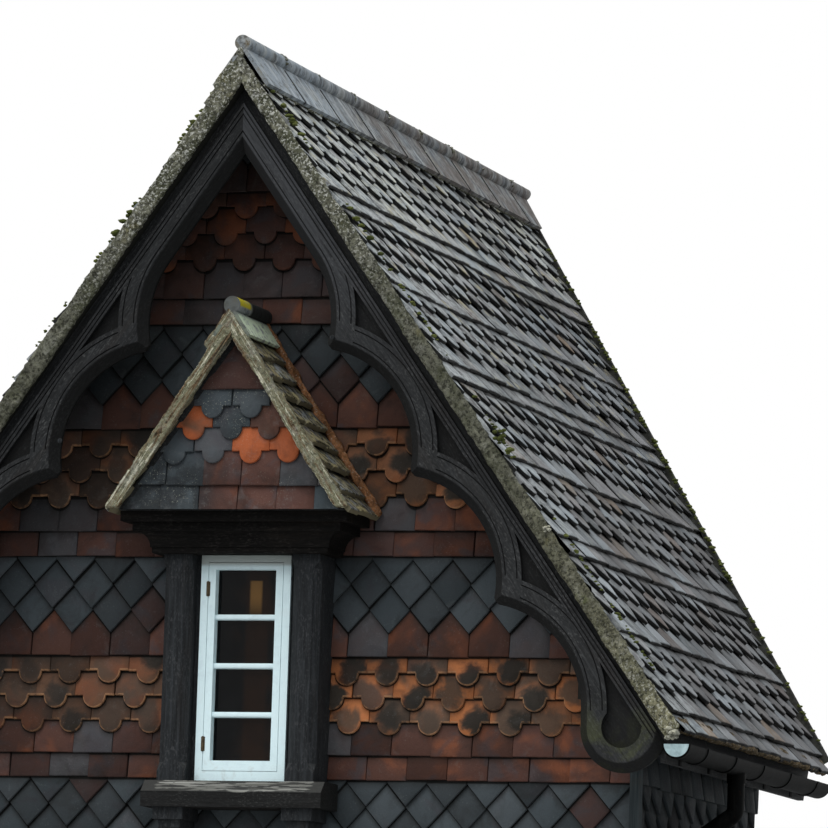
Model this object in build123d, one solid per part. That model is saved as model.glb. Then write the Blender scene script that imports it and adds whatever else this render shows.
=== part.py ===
from build123d import *
import math
import os

os.makedirs("parts", exist_ok=True)

# A steep tile-hung gabled dormer. Millimetres, X to the right, Y to the back, Z up.
# The origin is the middle of the front wall's underside. The front faces -Y.

# Walls
wall_half = 1550.0         # outer face of each side wall, from the middle
wall_t = 140.0             # thickness of the front and side walls
hang_t = 40.0              # tile hanging with its battens
tile_gauge = 96.0          # height of one course on the walls
tile_t = 12.0              # one plain tile

# Roof planes
roof_pitch = 54.54
main_pitch = 59.4          # slope of the roof that the dormer runs back into
foot_back = 1500.0         # side walls' length at the floor, from the middle of the front wall
plate_z = 700.0            # top of the side walls, under the wall plate
plate_edge = 95.0          # height of the plate's outer edge
plate_in = 130.0           # plate's inner side, from the wall's outer face
plate_out = 30.0
tiling_t = 55.0            # tiles and battens, square to the slope
boarding_t = 26.0
rafter_d = 100.0
rafter_w = 50.0
rafter_first = 250.0
rafter_step = 450.0
rafter_count = 7
roof_gauge = 94.7         # course height up the slope
eaves_tail = 48.0         # tiles beyond the end of the boarding
eaves_tail_t = 32.0       # two tiles thick there
eaves_reach = 205.0        # back of the fascia beyond the wall
fascia_t = 24.0
eaves_drip = 11.0          # boarding beyond the fascia
valley_t = 25.0

# Front overhang
verge_reach = 375.0        # verge in front of the tile hanging
verge_band = 20.0          # mortar band on the ends of the tiles
barge_back = 40.0          # bargeboard face behind the verge face
barge_t = 55.0
fillet_h = 38.0            # strip between the verge and the bargeboard
fillet_set = 25.0          # strip's face behind the bargeboard's face
soffit_t = 20.0

# Bargeboard tracery, set out from the eaves up the slope
crest_w = 96.0             # wood left above the top of each foil
top_crest = 76.0           # wood along the straight top
foil_r = 455.0
foil_step = 612.0
foil_count = 4
top_shift = 20.0           # the top foil sits further up
foot_set = 497.0           # last foil, up the slope from the eaves
barge_chamfer = 38.0
nose_t = 252.0             # cusps are cut off at this depth
lobe_r = 135.0
lobe_drop = 62.0           # lobe's middle below the last foil's
lobe_pocket_r = 80.0
mould_w = 75.0             # flat band round the foils
top_band = 38.0            # moulded band along the top edge
top_quirks = (9.0, 24.0)   # sunk lines in that band, from its top edge
foil_quirks = (8.0, 55.0)  # sunk lines round each foil, from its edge
quirk_w = 5.0
quirk_d = 5.0
pocket_d = 26.0

# Ridge
ridge_board_t = 40.0
ridge_board_d = 190.0
ridge_tile_len = 450.0
ridge_joint = 4.0
ridge_wing = 182.0
ridge_wing_t = 16.0
ridge_roll_r = 31.0

# Fascia, rainwater goods
soffit_gap = 5.0
fascia_d = 178.0
gutter_r = 56.0
gutter_t = 4.0
gutter_drop = 64.0         # rim of the gutter below the boarding's edge
gutter_joint = 2.0         # between lengths, under the middle straps
gutter_front = 25.0        # stop end in front of the bargeboard's face
strap_t = 4.0
strap_w = 30.0
strap_step = 430.0
strap_count = 5
outlet_y = 430.0
pipe_r = 34.0
pipe_t = 4.0
pipe_gap = 18.0            # pipe off the side tiles
neck_top = 120.0
neck_drop = 260.0
pipe_foot = 20.0
clip_z = 100.0
clip_h = 40.0

corner_w = 38.0            # corner board
corner_proud = 8.0         # in front of the tiles

# Window
frame_half = 186.0
frame_z = 379.0            # on the sill
frame_h = 891.0
frame_d = 70.0
jamb_w = 30.0
head_w = 27.0
foot_w = 41.0
rebate = 12.0
sash_d = 45.0
sash_gap = 2.0
stile_w = 29.0
top_rail_w = 27.0
low_rail_w = 40.0
glass_t = 4.0
glass_back = 3.0           # glass in front of the sash's back face
lining_t = 22.0
lining_set = 15.0          # lining's edge behind the frame's face
post_w = 116.0
post_out = 165.0           # post face in front of the tile hanging
frame_set = 55.0           # frame face behind the post face
post_chamfer = 28.0
post_stop = 36.0           # height of each slanted chamfer stop
post_foot = 72.0           # square part below the chamfer
post_head = 58.0

# Sill
sill_half = 372.0
sill_out = 210.0
sill_front_h = 60.0
sill_h = 105.0
bracket_w = 90.0
bracket_cap_w = 125.0
bracket_cap_h = 48.0
bracket_out = 165.0
bracket_h = 215.0

# Cornice and hood
crown_half = 468.0
crown_out = 290.0
crown_h = 40.0
band_step = 38.0
band_h = 35.0
cove_h = 60.0
cove_in = 40.0
bed_half = 364.0
bed_out = 200.0
bed_h = 23.0
hood_half = 510.0
hood_pitch = 56.6
hood_t = 62.0
hood_verge_t = 62.0
hood_verge_w = 30.0
hood_out = 390.0
hood_gable_out = 50.0      # gable face in front of the crown's face
hood_gable_t = 90.0
hood_roll_r = 34.0
hood_wing = 120.0
hood_wing_t = 14.0
hood_fillet = 32.0

# Derived places
tan_p = math.tan(math.radians(roof_pitch))
cos_p = math.cos(math.radians(roof_pitch))
sin_p = math.sin(math.radians(roof_pitch))
tan_m = math.tan(math.radians(main_pitch))
cos_m = math.cos(math.radians(main_pitch))
board_y = -wall_t / 2                       # front of the wall
face_y = board_y - hang_t                   # front of the tile hanging
verge_y = face_y - verge_reach
tiles_y = verge_y + verge_band
barge_y = verge_y + barge_back
barge_end = barge_y + barge_t
under = tiling_t + boarding_t               # depth of the roof skin, square to it
plate_x0, plate_x1 = wall_half - plate_in, wall_half - plate_out
ridge_z = plate_z + plate_edge + plate_x1 * tan_p + (under + rafter_d) / cos_p
fascia_x = wall_half + eaves_reach
fascia_face = fascia_x + fascia_t
eaves_x = fascia_face + eaves_drip          # underside corner of the boarding
far = 2 * ridge_z

parts = {}


def prism_y(points, y0, y1):
    """Outline in X and Z, drawn out from y0 to y1."""
    wire = Polyline(*[(x, y0, z) for x, z in points], close=True)
    return extrude(make_face(wire), amount=y1 - y0, dir=(0, 1, 0))


def prism_x(points, x0, x1):
    """Outline in Y and Z, drawn out from x0 to x1."""
    wire = Polyline(*[(x0, y, z) for y, z in points], close=True)
    return extrude(make_face(wire), amount=x1 - x0, dir=(1, 0, 0))


def block(x0, x1, y0, y1, z0, z1):
    return Pos((x0 + x1) / 2, (y0 + y1) / 2, (z0 + z1) / 2) * Box(x1 - x0, y1 - y0, z1 - z0)


def roof_line(x, depth):
    """Height of the plane that lies depth below the tiles, at x from the middle."""
    return ridge_z - depth / cos_p - tan_p * abs(x)


def main_roof_y(z, depth):
    """Y of the main roof's plane at height z, depth in front of the dormer's seat."""
    return foot_back + z / tan_m - depth / (cos_m * tan_m)


def in_front(shape, depth):
    """What lies in front of the main roof."""
    low, high = -far, far
    keep = prism_x(
        [(-far, low), (main_roof_y(low, depth), low),
         (main_roof_y(high, depth), high), (-far, high)],
        -far, far)
    return shape & keep


def slope_point(start_z, s, t):
    """s down the right-hand slope from the apex at start_z, t square into it."""
    return (s * cos_p - t * sin_p, start_z - s * sin_p - t * cos_p)


def eaves_cut(depth):
    """Corner of the roof skin at the eaves, square to the slope."""
    x = eaves_x + (under - depth) * sin_p
    return (x, roof_line(x, depth))


def slab(top, bottom, x0, y0, y1):
    """Layer of the right-hand slope between two depths."""
    return prism_y(
        [(x0, roof_line(x0, top)), eaves_cut(top), eaves_cut(bottom),
         (x0, roof_line(x0, bottom))], y0, y1)


def pair(name, shape):
    parts[name + "_right"] = shape
    parts[name + "_left"] = mirror(shape, about=Plane.YZ)


def both(shape):
    return shape + mirror(shape, about=Plane.YZ)


# Roof skin
def stepped_slope():
    """Tiling with one step for each course; the lowest tails run out past the boarding."""
    board_s = eaves_cut(0)[0] / cos_p
    length = board_s + eaves_tail
    count = int(length // roof_gauge)
    points = []
    for k in range(count + 1):
        s1 = length - k * roof_gauge
        s0 = max(s1 - roof_gauge, 0.0)
        points += [slope_point(ridge_z, s1, 0), slope_point(ridge_z, s0, tile_t)]
    low = [(0, roof_line(0, tiling_t)), eaves_cut(tiling_t),
           slope_point(ridge_z, board_s, eaves_tail_t), slope_point(ridge_z, length, eaves_tail_t)]
    return prism_y([p for p in points if p[0] > 0.5] + [(0, points[-1][1] - 1)] + low, tiles_y, far)


pair("roof_tiling", in_front(stepped_slope(), valley_t))
pair("roof_boarding", in_front(slab(tiling_t, under, 0, tiles_y, far), valley_t))
verge = slab(0, under, 0, verge_y, tiles_y)
pair("verge_mortar", verge)


# Ridge tiles, in lengths with open joints
def ridge_section(y0, y1):
    half = ridge_wing * cos_p
    lift = ridge_wing_t / cos_p
    wings = prism_y(
        [(0, ridge_z), (half, ridge_z - half * tan_p),
         (half + ridge_wing_t * sin_p, ridge_z - half * tan_p + ridge_wing_t * cos_p),
         (0, ridge_z + lift), (-half - ridge_wing_t * sin_p, ridge_z - half * tan_p
                               + ridge_wing_t * cos_p), (-half, ridge_z - half * tan_p)], y0, y1)
    roll = Pos(0, (y0 + y1) / 2, ridge_z + lift) * Rot(90, 0, 0) * Cylinder(ridge_roll_r, y1 - y0)
    roll &= prism_y([(-far, ridge_z + 1), (far, ridge_z + 1), (far, far), (-far, far)], y0, y1)
    apex = prism_y([(-far, ridge_z - far * tan_p), (0, ridge_z), (far, ridge_z - far * tan_p)],
                   y0 - 1, y1 + 1)
    return (wings + roll) - apex


ridge_len = main_roof_y(ridge_z, valley_t) - verge_y
ridge_count = math.ceil(ridge_len / ridge_tile_len)
ridge = [ridge_section(verge_y + k * ridge_tile_len,
                       verge_y + (k + 1) * ridge_tile_len - ridge_joint)
         for k in range(ridge_count)]
parts["ridge_tiles"] = Compound([in_front(r, valley_t).solids()[0] for r in ridge])

# Roof timbers
half_board = ridge_board_t / 2
ridge_bottom = roof_line(0, under) - ridge_board_d
ridge_outline = [(-half_board, ridge_bottom), (half_board, ridge_bottom),
                 (half_board, roof_line(half_board, under)), (0, roof_line(0, under)),
                 (-half_board, roof_line(half_board, under))]
ridge_timber = prism_y(ridge_outline, barge_end, far)
parts["ridge_board"] = in_front(ridge_timber, valley_t)

plate_outline = [(plate_x0, plate_z), (plate_x1, plate_z),
                 (plate_x1, roof_line(plate_x1, under + rafter_d)),
                 (plate_x0, roof_line(plate_x0, under + rafter_d))]
plate = prism_y(plate_outline, barge_end, far)
pair("wall_plate", in_front(plate, valley_t))

rafter_outline = [(half_board, roof_line(half_board, under)),
                  (fascia_x, roof_line(fascia_x, under)),
                  (fascia_x, roof_line(fascia_x, under + rafter_d)),
                  (half_board, roof_line(half_board, under + rafter_d))]
rafters = []
for k in range(rafter_count):
    y0 = rafter_first + k * rafter_step
    got = in_front(prism_y(rafter_outline, y0, y0 + rafter_w), valley_t)
    rafters += [s for s in got.solids() if s.volume > 1000]
parts["rafters_right"] = Compound(rafters)
parts["rafters_left"] = Compound([mirror(r, about=Plane.YZ) for r in rafters])


# Lay boards along the valleys, flat on the main roof
def valley_board():
    low_z, high_z = roof_line(fascia_x, under), roof_line(half_board, under + rafter_d)
    strip = prism_y(
        [(half_board, high_z), (half_board, roof_line(half_board, 0)), eaves_cut(0),
         eaves_cut(under), (fascia_x + fascia_t, low_z), (fascia_x, low_z),
         (fascia_x, roof_line(fascia_x, under + rafter_d))], -far, far)
    return in_front(strip, 0) - in_front(strip, valley_t)


pair("valley_board", valley_board())

# Walls, with the window cut through
gable = prism_y([(-wall_half, 0), (wall_half, 0), (wall_half, roof_line(wall_half, under)),
                 (0, roof_line(0, under)), (-wall_half, roof_line(wall_half, under))],
                board_y, -board_y)
lining_half = frame_half + lining_t
frame_top = frame_z + frame_h
window_hole = block(-lining_half, lining_half, -far, far,
                    frame_z - lining_t, frame_top + lining_t)
timbers = ridge_timber + both(plate)
parts["front_wall"] = gable - window_hole - timbers
side_wall = block(wall_half - wall_t, wall_half, -board_y, far, 0, plate_z)
pair("side_wall", in_front(side_wall, 0))


# Tile hanging, one step for each course
def stepped_wall(top):
    """Outline of hung courses: depth off the wall against height."""
    points = [(0.0, 0.0)]
    z = 0.0
    while z < top:
        points += [(hang_t, z), (hang_t - tile_t, min(z + tile_gauge, top))]
        z += tile_gauge
    return points + [(0.0, top)]


corner_in = wall_half + hang_t + corner_proud - corner_w   # inner side of the corner board
skin_top = under + soffit_t
hang_line = [(-corner_in, 0), (corner_in, 0), (corner_in, roof_line(corner_in, skin_top)),
             (half_board, roof_line(half_board, skin_top)),
             (-half_board, roof_line(half_board, skin_top)),
             (-corner_in, roof_line(corner_in, skin_top))]
hung = prism_x([(board_y - d, z) for d, z in stepped_wall(ridge_z)], -corner_in, corner_in)
post_x1 = lining_half + post_w
window_gap = block(-post_x1, post_x1, -far, far, frame_z, frame_top)
parts["front_tile_hanging"] = (hung & prism_y(hang_line, face_y, board_y)) - window_gap - timbers

side_top = roof_line(wall_half + hang_t, under + rafter_d) - soffit_gap
side_hung = prism_y([(wall_half + d, z) for d, z in stepped_wall(side_top)], board_y, far)
side_hung = in_front(side_hung, 0)
corner_top = roof_line(corner_in + corner_w, skin_top) - soffit_gap
corner = block(corner_in, corner_in + corner_w, face_y - corner_proud, board_y, 0, corner_top)
pair("side_tile_hanging", side_hung)
pair("corner_board", corner)

# Overhang in front of the wall
soffit = prism_y([(half_board, roof_line(half_board, under)),
                  (fascia_x, roof_line(fascia_x, under)),
                  (fascia_x, roof_line(fascia_x, skin_top)),
                  (half_board, roof_line(half_board, skin_top))], barge_end, board_y)
pair("verge_soffit", soffit)
barge_top = under + fillet_h
barge_apex = roof_line(0, barge_top)
strip_y = barge_y + fillet_set
fillet = prism_y([(0, roof_line(0, under)), (fascia_x + fascia_t, roof_line(fascia_x + fascia_t, under)),
                  (fascia_x + fascia_t, roof_line(fascia_x + fascia_t, barge_top)),
                  (0, barge_apex)], strip_y, barge_end)
pair("barge_fillet", fillet)


# Bargeboard: foils cut from a deep board that ends in a rounded lobe
def round_y(x, z, r0, r1, y0, y1):
    """Round or tapered plug along Y, radius r0 at y0 and r1 at y1."""
    return Pos(x, (y0 + y1) / 2, z) * Rot(90, 0, 0) * Cone(r1, r0, y1 - y0)


def circle_prism(x, z, r, y0, y1):
    return Pos(x, (y0 + y1) / 2, z) * Rot(90, 0, 0) * Cylinder(r, y1 - y0)


def along_slope(points, s0, s1):
    """Outline in Y and depth below the bargeboard's top edge, run down the slope."""
    start = slope_point(barge_apex, s0, 0)
    place = Plane(origin=(start[0], 0, start[1]), x_dir=(0, 1, 0), z_dir=(cos_p, 0, -sin_p))
    outline = make_face(Polyline(*[(y, -t) for y, t in points], close=True))
    return extrude(place * outline, amount=s1 - s0)


eaves_s = eaves_x / cos_p - fillet_h * tan_p
last_s = eaves_s - foot_set
foil_places = [(last_s - k * foil_step, crest_w + foil_r) for k in range(foil_count - 1)]
top_s = last_s - (foil_count - 1) * foil_step - top_shift
foil_places.append((top_s, top_crest + foil_r))
foils = [slope_point(barge_apex, s, t) for s, t in foil_places]
foil_edge = foils[0][0] + foil_r
foil_z = foils[0][1]
lobe_x, lobe_z = foil_edge + lobe_r, foil_z - lobe_drop
y0, y1 = barge_y, barge_end
y_mid = y0 + barge_chamfer


def barge_outline():
    """The deep board before the foils, down to the lobe."""
    reach = (barge_apex - lobe_z) / tan_p
    inner = foil_edge - barge_chamfer
    body = prism_y([(0, barge_apex), (reach, lobe_z), (inner, lobe_z), (inner, foil_z),
                    ((barge_apex - nose_t / cos_p - foil_z) / tan_p, foil_z),
                    (0, barge_apex - nose_t / cos_p)], y0, y1)
    below = along_slope([(y0 - 1, 0), (y1 + 1, 0), (y1 + 1, far), (y0 - 1, far)], -far, 2 * far)
    lobe = round_y(lobe_x, lobe_z, lobe_r, lobe_r + barge_chamfer, y0, y_mid)
    lobe += circle_prism(lobe_x, lobe_z, lobe_r + barge_chamfer, y_mid, y1)
    return body + (lobe & below)


def barge_opening():
    """What the foils, the straight top and the foot take away, with their chamfers."""
    edge = [(y0 - 1, top_crest - 1), (y_mid, top_crest + barge_chamfer),
            (y1 + 1, top_crest + barge_chamfer), (y1 + 1, far), (y0 - 1, far)]
    gone = along_slope(edge, -far, top_s)
    for x, z in foils:
        gone += round_y(x, z, foil_r, foil_r - barge_chamfer, y0, y_mid)
        gone += circle_prism(x, z, foil_r - barge_chamfer, y_mid - 1, y1 + 1)
    gone &= block(-far, far, -far, far, foil_z, far)
    wire = Polyline((0, y0 - 1, lobe_z), (foil_edge + 1, y0 - 1, lobe_z),
                    (foil_edge - barge_chamfer, y_mid, lobe_z),
                    (foil_edge - barge_chamfer, y1 + 1, lobe_z), (0, y1 + 1, lobe_z), close=True)
    return gone + extrude(make_face(wire), amount=foil_z - lobe_z, dir=(0, 0, 1))


def barge_pockets():
    """Sunk spandrels between the moulded bands and the top edge."""
    deep = along_slope([(y0 - 1, top_band), (y0 + pocket_d, top_band), (y0 + pocket_d, nose_t),
                        (y0 - 1, nose_t)], top_s, eaves_s)
    deep &= block(0, far, -far, far, lobe_z, far)
    for x, z in foils:
        deep -= circle_prism(x, z, foil_r + mould_w, y0 - 5, y1)
    deep -= block(0, foil_edge + mould_w, y0 - 5, y1, 0, foil_z)
    below = along_slope([(y0 - 2, top_band), (y1, top_band), (y1, far), (y0 - 2, far)], 0, 2 * far)
    bowl = circle_prism(lobe_x, lobe_z, lobe_pocket_r, y0 - 1, y0 + pocket_d) & below
    return deep + bowl


def barge_quirks():
    """Sunk lines along the top edge and round each foil, mitred where the foils meet."""
    def sunk(t, s0, s1):
        return along_slope([(y0 - 1, t), (y0 + quirk_d, t), (y0 + quirk_d, t + quirk_w),
                            (y0 - 1, t + quirk_w)], s0, s1)

    def deeper(t, s0):
        return along_slope([(y0 - 2, t), (y1, t), (y1, far), (y0 - 2, far)], s0, 2 * far)

    lines = [sunk(t, 0, eaves_s) for t in top_quirks]
    for k, (x, z) in enumerate(foils):
        for step in foil_quirks:
            ring = circle_prism(x, z, foil_r + step + quirk_w, y0 - 1, y0 + quirk_d)
            ring -= circle_prism(x, z, foil_r + step, y0 - 2, y0 + quirk_d + 1)
            for j, (other_x, other_z) in enumerate(foils):
                if abs(j - k) == 1:
                    ring -= circle_prism(other_x, other_z, foil_r + mould_w, y0 - 2, y0 + quirk_d + 1)
            ring &= block(0, far, -far, far, foil_z, far)
            ring &= deeper(top_band, top_s if k == foil_count - 1 else 0)
            lines.append(ring)
    # The inner line goes on along the straight top
    straight = top_crest - foil_quirks[0] - quirk_w
    lines.append(sunk(straight, -far, top_s))
    return lines


board = barge_outline() - barge_opening() - barge_pockets()
for line in barge_quirks():
    board -= line
pair("bargeboard", board)

# Eaves fascia, gutter and pipe
fascia_z = roof_line(fascia_x, under) - fascia_d
fascia = prism_y([(fascia_x, fascia_z), (fascia_face, fascia_z),
                  (fascia_face, roof_line(fascia_face, under)),
                  (fascia_x, roof_line(fascia_x, under))], barge_end, far)
pair("eaves_fascia", in_front(fascia, valley_t))

gutter_x = fascia_face + strap_t + gutter_r
gutter_z = roof_line(eaves_x, under) - gutter_drop
gutter_y0 = barge_y - gutter_front
gutter_y1 = main_roof_y(gutter_z - gutter_r, valley_t) - 10


def half_tube(outer, inner, y0, y1, z):
    ring = circle_prism(gutter_x, z, outer, y0, y1)
    if inner:
        ring -= circle_prism(gutter_x, z, inner, y0 - 1, y1 + 1)
    return ring & block(gutter_x - 2 * outer, gutter_x + 2 * outer, y0, y1, z - 2 * outer, z)


outlet = Pos(gutter_x, outlet_y, gutter_z - gutter_r - 10) * Cylinder(pipe_r + pipe_t, 40)
outlet -= circle_prism(gutter_x, gutter_z, gutter_r, outlet_y - 100, outlet_y + 100)
gutter = half_tube(gutter_r, gutter_r - gutter_t, gutter_y0, gutter_y1, gutter_z)
gutter += half_tube(gutter_r, 0, gutter_y0, gutter_y0 + gutter_t, gutter_z)
gutter += half_tube(gutter_r, 0, gutter_y1 - gutter_t, gutter_y1, gutter_z)
gutter += outlet
bore = Pos(gutter_x, outlet_y, gutter_z - gutter_r) * Cylinder(pipe_r - pipe_t, 80)
gutter -= bore


def strap_place(k):
    """Front of strap k, always between outlets."""
    return outlet_y + (k - 1.5) * strap_step


for k in range(1, strap_count - 1):
    joint = strap_place(k) + strap_w / 2
    gutter -= block(gutter_x - 2 * gutter_r, gutter_x + 2 * gutter_r, joint - gutter_joint / 2,
                    joint + gutter_joint / 2, gutter_z - 2 * gutter_r, gutter_z + gutter_r)
lengths = gutter.solids()
parts["gutter_right"] = Compound(lengths)
parts["gutter_left"] = Compound([mirror(g, about=Plane.YZ) for g in lengths])

# Gutter straps: a half ring under the gutter and a plate on the fascia
straps = []
for k in range(strap_count):
    y0 = strap_place(k)
    ring = half_tube(gutter_r + strap_t, gutter_r, y0, y0 + strap_w, gutter_z)
    plate_up = block(fascia_face, fascia_face + strap_t, y0, y0 + strap_w, fascia_z, gutter_z + 20)
    straps.append((ring + plate_up).solids()[0])
parts["gutter_straps_right"] = Compound(straps)
parts["gutter_straps_left"] = Compound([mirror(s, about=Plane.YZ) for s in straps])


def downpipe():
    """Swan neck from the outlet back to the wall, then down."""
    pipe_x = wall_half + hang_t + pipe_gap + pipe_r
    top = gutter_z - gutter_r - 30
    path = FilletPolyline((gutter_x, outlet_y, top), (gutter_x, outlet_y, top - neck_top),
                          (pipe_x, outlet_y, top - neck_drop), (pipe_x, outlet_y, pipe_foot),
                          radius=45)
    start = Plane(origin=(gutter_x, outlet_y, top), z_dir=(0, 0, -1))
    outer = sweep(start * Circle(pipe_r), path=path)
    inner = sweep(start * Circle(pipe_r - pipe_t), path=path)
    tube = outer - inner
    clip = Pos(pipe_x, outlet_y, clip_z) * Cylinder(pipe_r + strap_t, clip_h)
    clip += block(wall_half + hang_t, pipe_x, outlet_y - 25, outlet_y + 25,
                  clip_z - clip_h / 2, clip_z + clip_h / 2)
    clip -= Pos(pipe_x, outlet_y, clip_z) * Cylinder(pipe_r, clip_h + 10)
    return tube + clip


pair("downpipe", downpipe())

# Window
post_y = face_y - post_out
frame_y = post_y + frame_set
sash_x1 = frame_half - jamb_w
sash_z0, sash_z1 = frame_z + foot_w, frame_top - head_w
frame = block(-frame_half, frame_half, frame_y, frame_y + frame_d, frame_z, frame_top)
frame -= block(-sash_x1, sash_x1, frame_y - 1, frame_y + sash_d, sash_z0, sash_z1)
frame -= block(-sash_x1 + rebate, sash_x1 - rebate, frame_y, frame_y + frame_d + 1,
               sash_z0 + rebate, sash_z1 - rebate)
parts["window_frame"] = frame
sx, z0, z1 = sash_x1 - sash_gap, sash_z0 + sash_gap, sash_z1 - sash_gap
sash = block(-sx, sx, frame_y, frame_y + sash_d, z0, z1)
pane_x = sx - stile_w
pane_z0, pane_z1 = z0 + low_rail_w, z1 - top_rail_w
sash -= block(-pane_x, pane_x, frame_y - 1, frame_y + frame_d, pane_z0, pane_z1)
parts["window_sash"] = sash
glass_y = frame_y + sash_d - glass_t - glass_back
parts["window_glass"] = block(-pane_x, pane_x, glass_y, glass_y + glass_t, pane_z0, pane_z1)

lining = block(-lining_half, lining_half, board_y, -board_y,
               frame_z - lining_t, frame_top + lining_t)
lining += block(-lining_half, lining_half, frame_y + lining_set, board_y, frame_z, frame_top)
lining -= block(-frame_half, frame_half, -far, far, frame_z, frame_top)
parts["window_lining"] = lining


def chamfer_cut(x, side):
    """What comes off one front corner: a long chamfer with a slanted stop at each end."""
    low, high = frame_z + post_foot, frame_top - post_head
    deep = post_chamfer / math.sqrt(2)
    place = Plane(origin=(x, post_y, 0), x_dir=(-side, 1, 0), z_dir=(1, side, 0))
    outline = make_face(Polyline((0, low - post_stop), (deep, low), (deep, high), (0, high + post_stop),
                                 (-deep, high + post_stop), (-deep, low - post_stop), close=True))
    return extrude(place * outline, amount=post_chamfer, both=True)


def post():
    whole = block(lining_half, post_x1, post_y, board_y, frame_z, frame_top)
    return whole - chamfer_cut(lining_half, -1) - chamfer_cut(post_x1, 1)


pair("post", post())

sill_y = face_y - sill_out
parts["window_sill"] = prism_x(
    [(sill_y, frame_z - sill_h), (sill_y, frame_z - sill_h + sill_front_h), (post_y, frame_z),
     (face_y, frame_z), (face_y, frame_z - sill_h)], -sill_half, sill_half)


def bracket():
    mid = lining_half + post_w / 2
    top = frame_z - sill_h
    cap = block(mid - bracket_cap_w / 2, mid + bracket_cap_w / 2, face_y - bracket_out - 20,
                face_y, top - bracket_cap_h, top)
    arm = prism_x([(face_y, top - bracket_cap_h), (face_y - bracket_out, top - bracket_cap_h),
                   (face_y - bracket_out, top - bracket_cap_h - 30),
                   (face_y, top - bracket_h)], mid - bracket_w / 2, mid + bracket_w / 2)
    return cap + arm


pair("sill_bracket", bracket())


# Cornice: the front and side profiles meet at mitred corners
def cornice_profile(out, bed):
    """Projection against height for one side of the cornice."""
    z = frame_top
    points = [(bed, z), (bed, z + bed_h)]
    z += bed_h
    start, rise = bed + 6, out - band_step - cove_in * 0.15 - bed - 6
    for k in range(9):
        a = math.radians(90 * k / 8)
        points.append((start + rise * (1 - math.cos(a)), z + cove_h * math.sin(a)))
    z += cove_h
    points += [(out - band_step, z), (out - band_step, z + band_h)]
    z += band_h
    points += [(out, z), (out, z + crown_h)]
    return points


cornice_top = frame_top + bed_h + cove_h + band_h + crown_h
front_shape = prism_x([(face_y - d, z) for d, z in cornice_profile(crown_out, bed_out)]
                      + [(face_y, cornice_top), (face_y, frame_top)], -far, far)
side_points = cornice_profile(crown_half, bed_half)
side_shape = prism_y(side_points + [(-d, z) for d, z in reversed(side_points)], -far, face_y)
parts["hood_cornice"] = front_shape & side_shape

# Hood: a small tiled gable roof on the cornice
tan_h = math.tan(math.radians(hood_pitch))
cos_h = math.cos(math.radians(hood_pitch))
sin_h = math.sin(math.radians(hood_pitch))
hood_apex = cornice_top + hood_half * tan_h
hood_y = face_y - hood_out


def hood_line(x, depth):
    return hood_apex - depth / cos_h - tan_h * abs(x)


def hood_slab(top, bottom, y0, y1):
    outer = (hood_line(0, top) - cornice_top) / tan_h
    inner = (hood_line(0, bottom) - cornice_top) / tan_h
    return prism_y([(0, hood_line(0, top)), (outer, cornice_top), (inner, cornice_top),
                    (0, hood_line(0, bottom))], y0, y1)


pair("hood_roof", hood_slab(0, hood_t, hood_y + hood_verge_w, face_y))
pair("hood_verge", hood_slab(0, hood_verge_t, hood_y, hood_y + hood_verge_w))
gable_x = (hood_line(0, hood_t) - cornice_top) / tan_h
gable_y = face_y - crown_out - hood_gable_out
parts["hood_gable"] = prism_y([(-gable_x, cornice_top), (gable_x, cornice_top),
                               (0, hood_line(0, hood_t))], gable_y, gable_y + hood_gable_t)
half = hood_wing * cos_h
lift = hood_wing_t / cos_h
side = (half + hood_wing_t * sin_h, hood_apex - half * tan_h + hood_wing_t * cos_h)
cap = prism_y([(0, hood_apex), (half, hood_apex - half * tan_h), side, (0, hood_apex + lift),
               (-side[0], side[1]), (-half, hood_apex - half * tan_h)], hood_y, face_y)
roll = circle_prism(0, hood_apex + lift, hood_roll_r, hood_y, face_y)
roll &= block(-far, far, hood_y, face_y, hood_apex + 1, far)
cap += roll
cap -= prism_y([(-far, hood_apex - far * tan_h), (0, hood_apex), (far, hood_apex - far * tan_h)],
               hood_y - 1, face_y + 1)
parts["hood_ridge_tile"] = cap
wedge_x0 = half + hood_wing_t * sin_h + 2
mortar = prism_y([(wedge_x0, hood_line(wedge_x0, 0)), (hood_half, cornice_top),
                  (hood_half + hood_fillet * sin_h, cornice_top + hood_fillet * cos_h),
                  (wedge_x0, hood_line(wedge_x0, -hood_fillet))], face_y - hood_fillet, face_y)
pair("hood_mortar", mortar)

for name, shape in parts.items():
    shape.label = name
    export_step(shape, f"parts/{name}.step")
print(len(parts), "pieces")
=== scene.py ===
import math
import random

import bmesh
import bpy
from mathutils import Matrix, Vector, noise


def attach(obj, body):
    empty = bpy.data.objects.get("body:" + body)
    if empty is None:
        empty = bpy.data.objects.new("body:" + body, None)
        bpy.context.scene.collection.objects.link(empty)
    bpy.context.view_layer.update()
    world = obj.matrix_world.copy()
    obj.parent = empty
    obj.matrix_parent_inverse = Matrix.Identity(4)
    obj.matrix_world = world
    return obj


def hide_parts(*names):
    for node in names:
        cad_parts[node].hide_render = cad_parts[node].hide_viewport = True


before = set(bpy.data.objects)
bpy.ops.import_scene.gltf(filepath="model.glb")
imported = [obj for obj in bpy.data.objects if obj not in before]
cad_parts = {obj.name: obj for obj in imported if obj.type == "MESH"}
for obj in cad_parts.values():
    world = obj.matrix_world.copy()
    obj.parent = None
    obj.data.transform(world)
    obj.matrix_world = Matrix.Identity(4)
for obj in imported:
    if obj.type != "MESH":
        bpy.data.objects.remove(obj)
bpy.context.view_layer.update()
bpy.ops.object.select_all(action="DESELECT")

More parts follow.
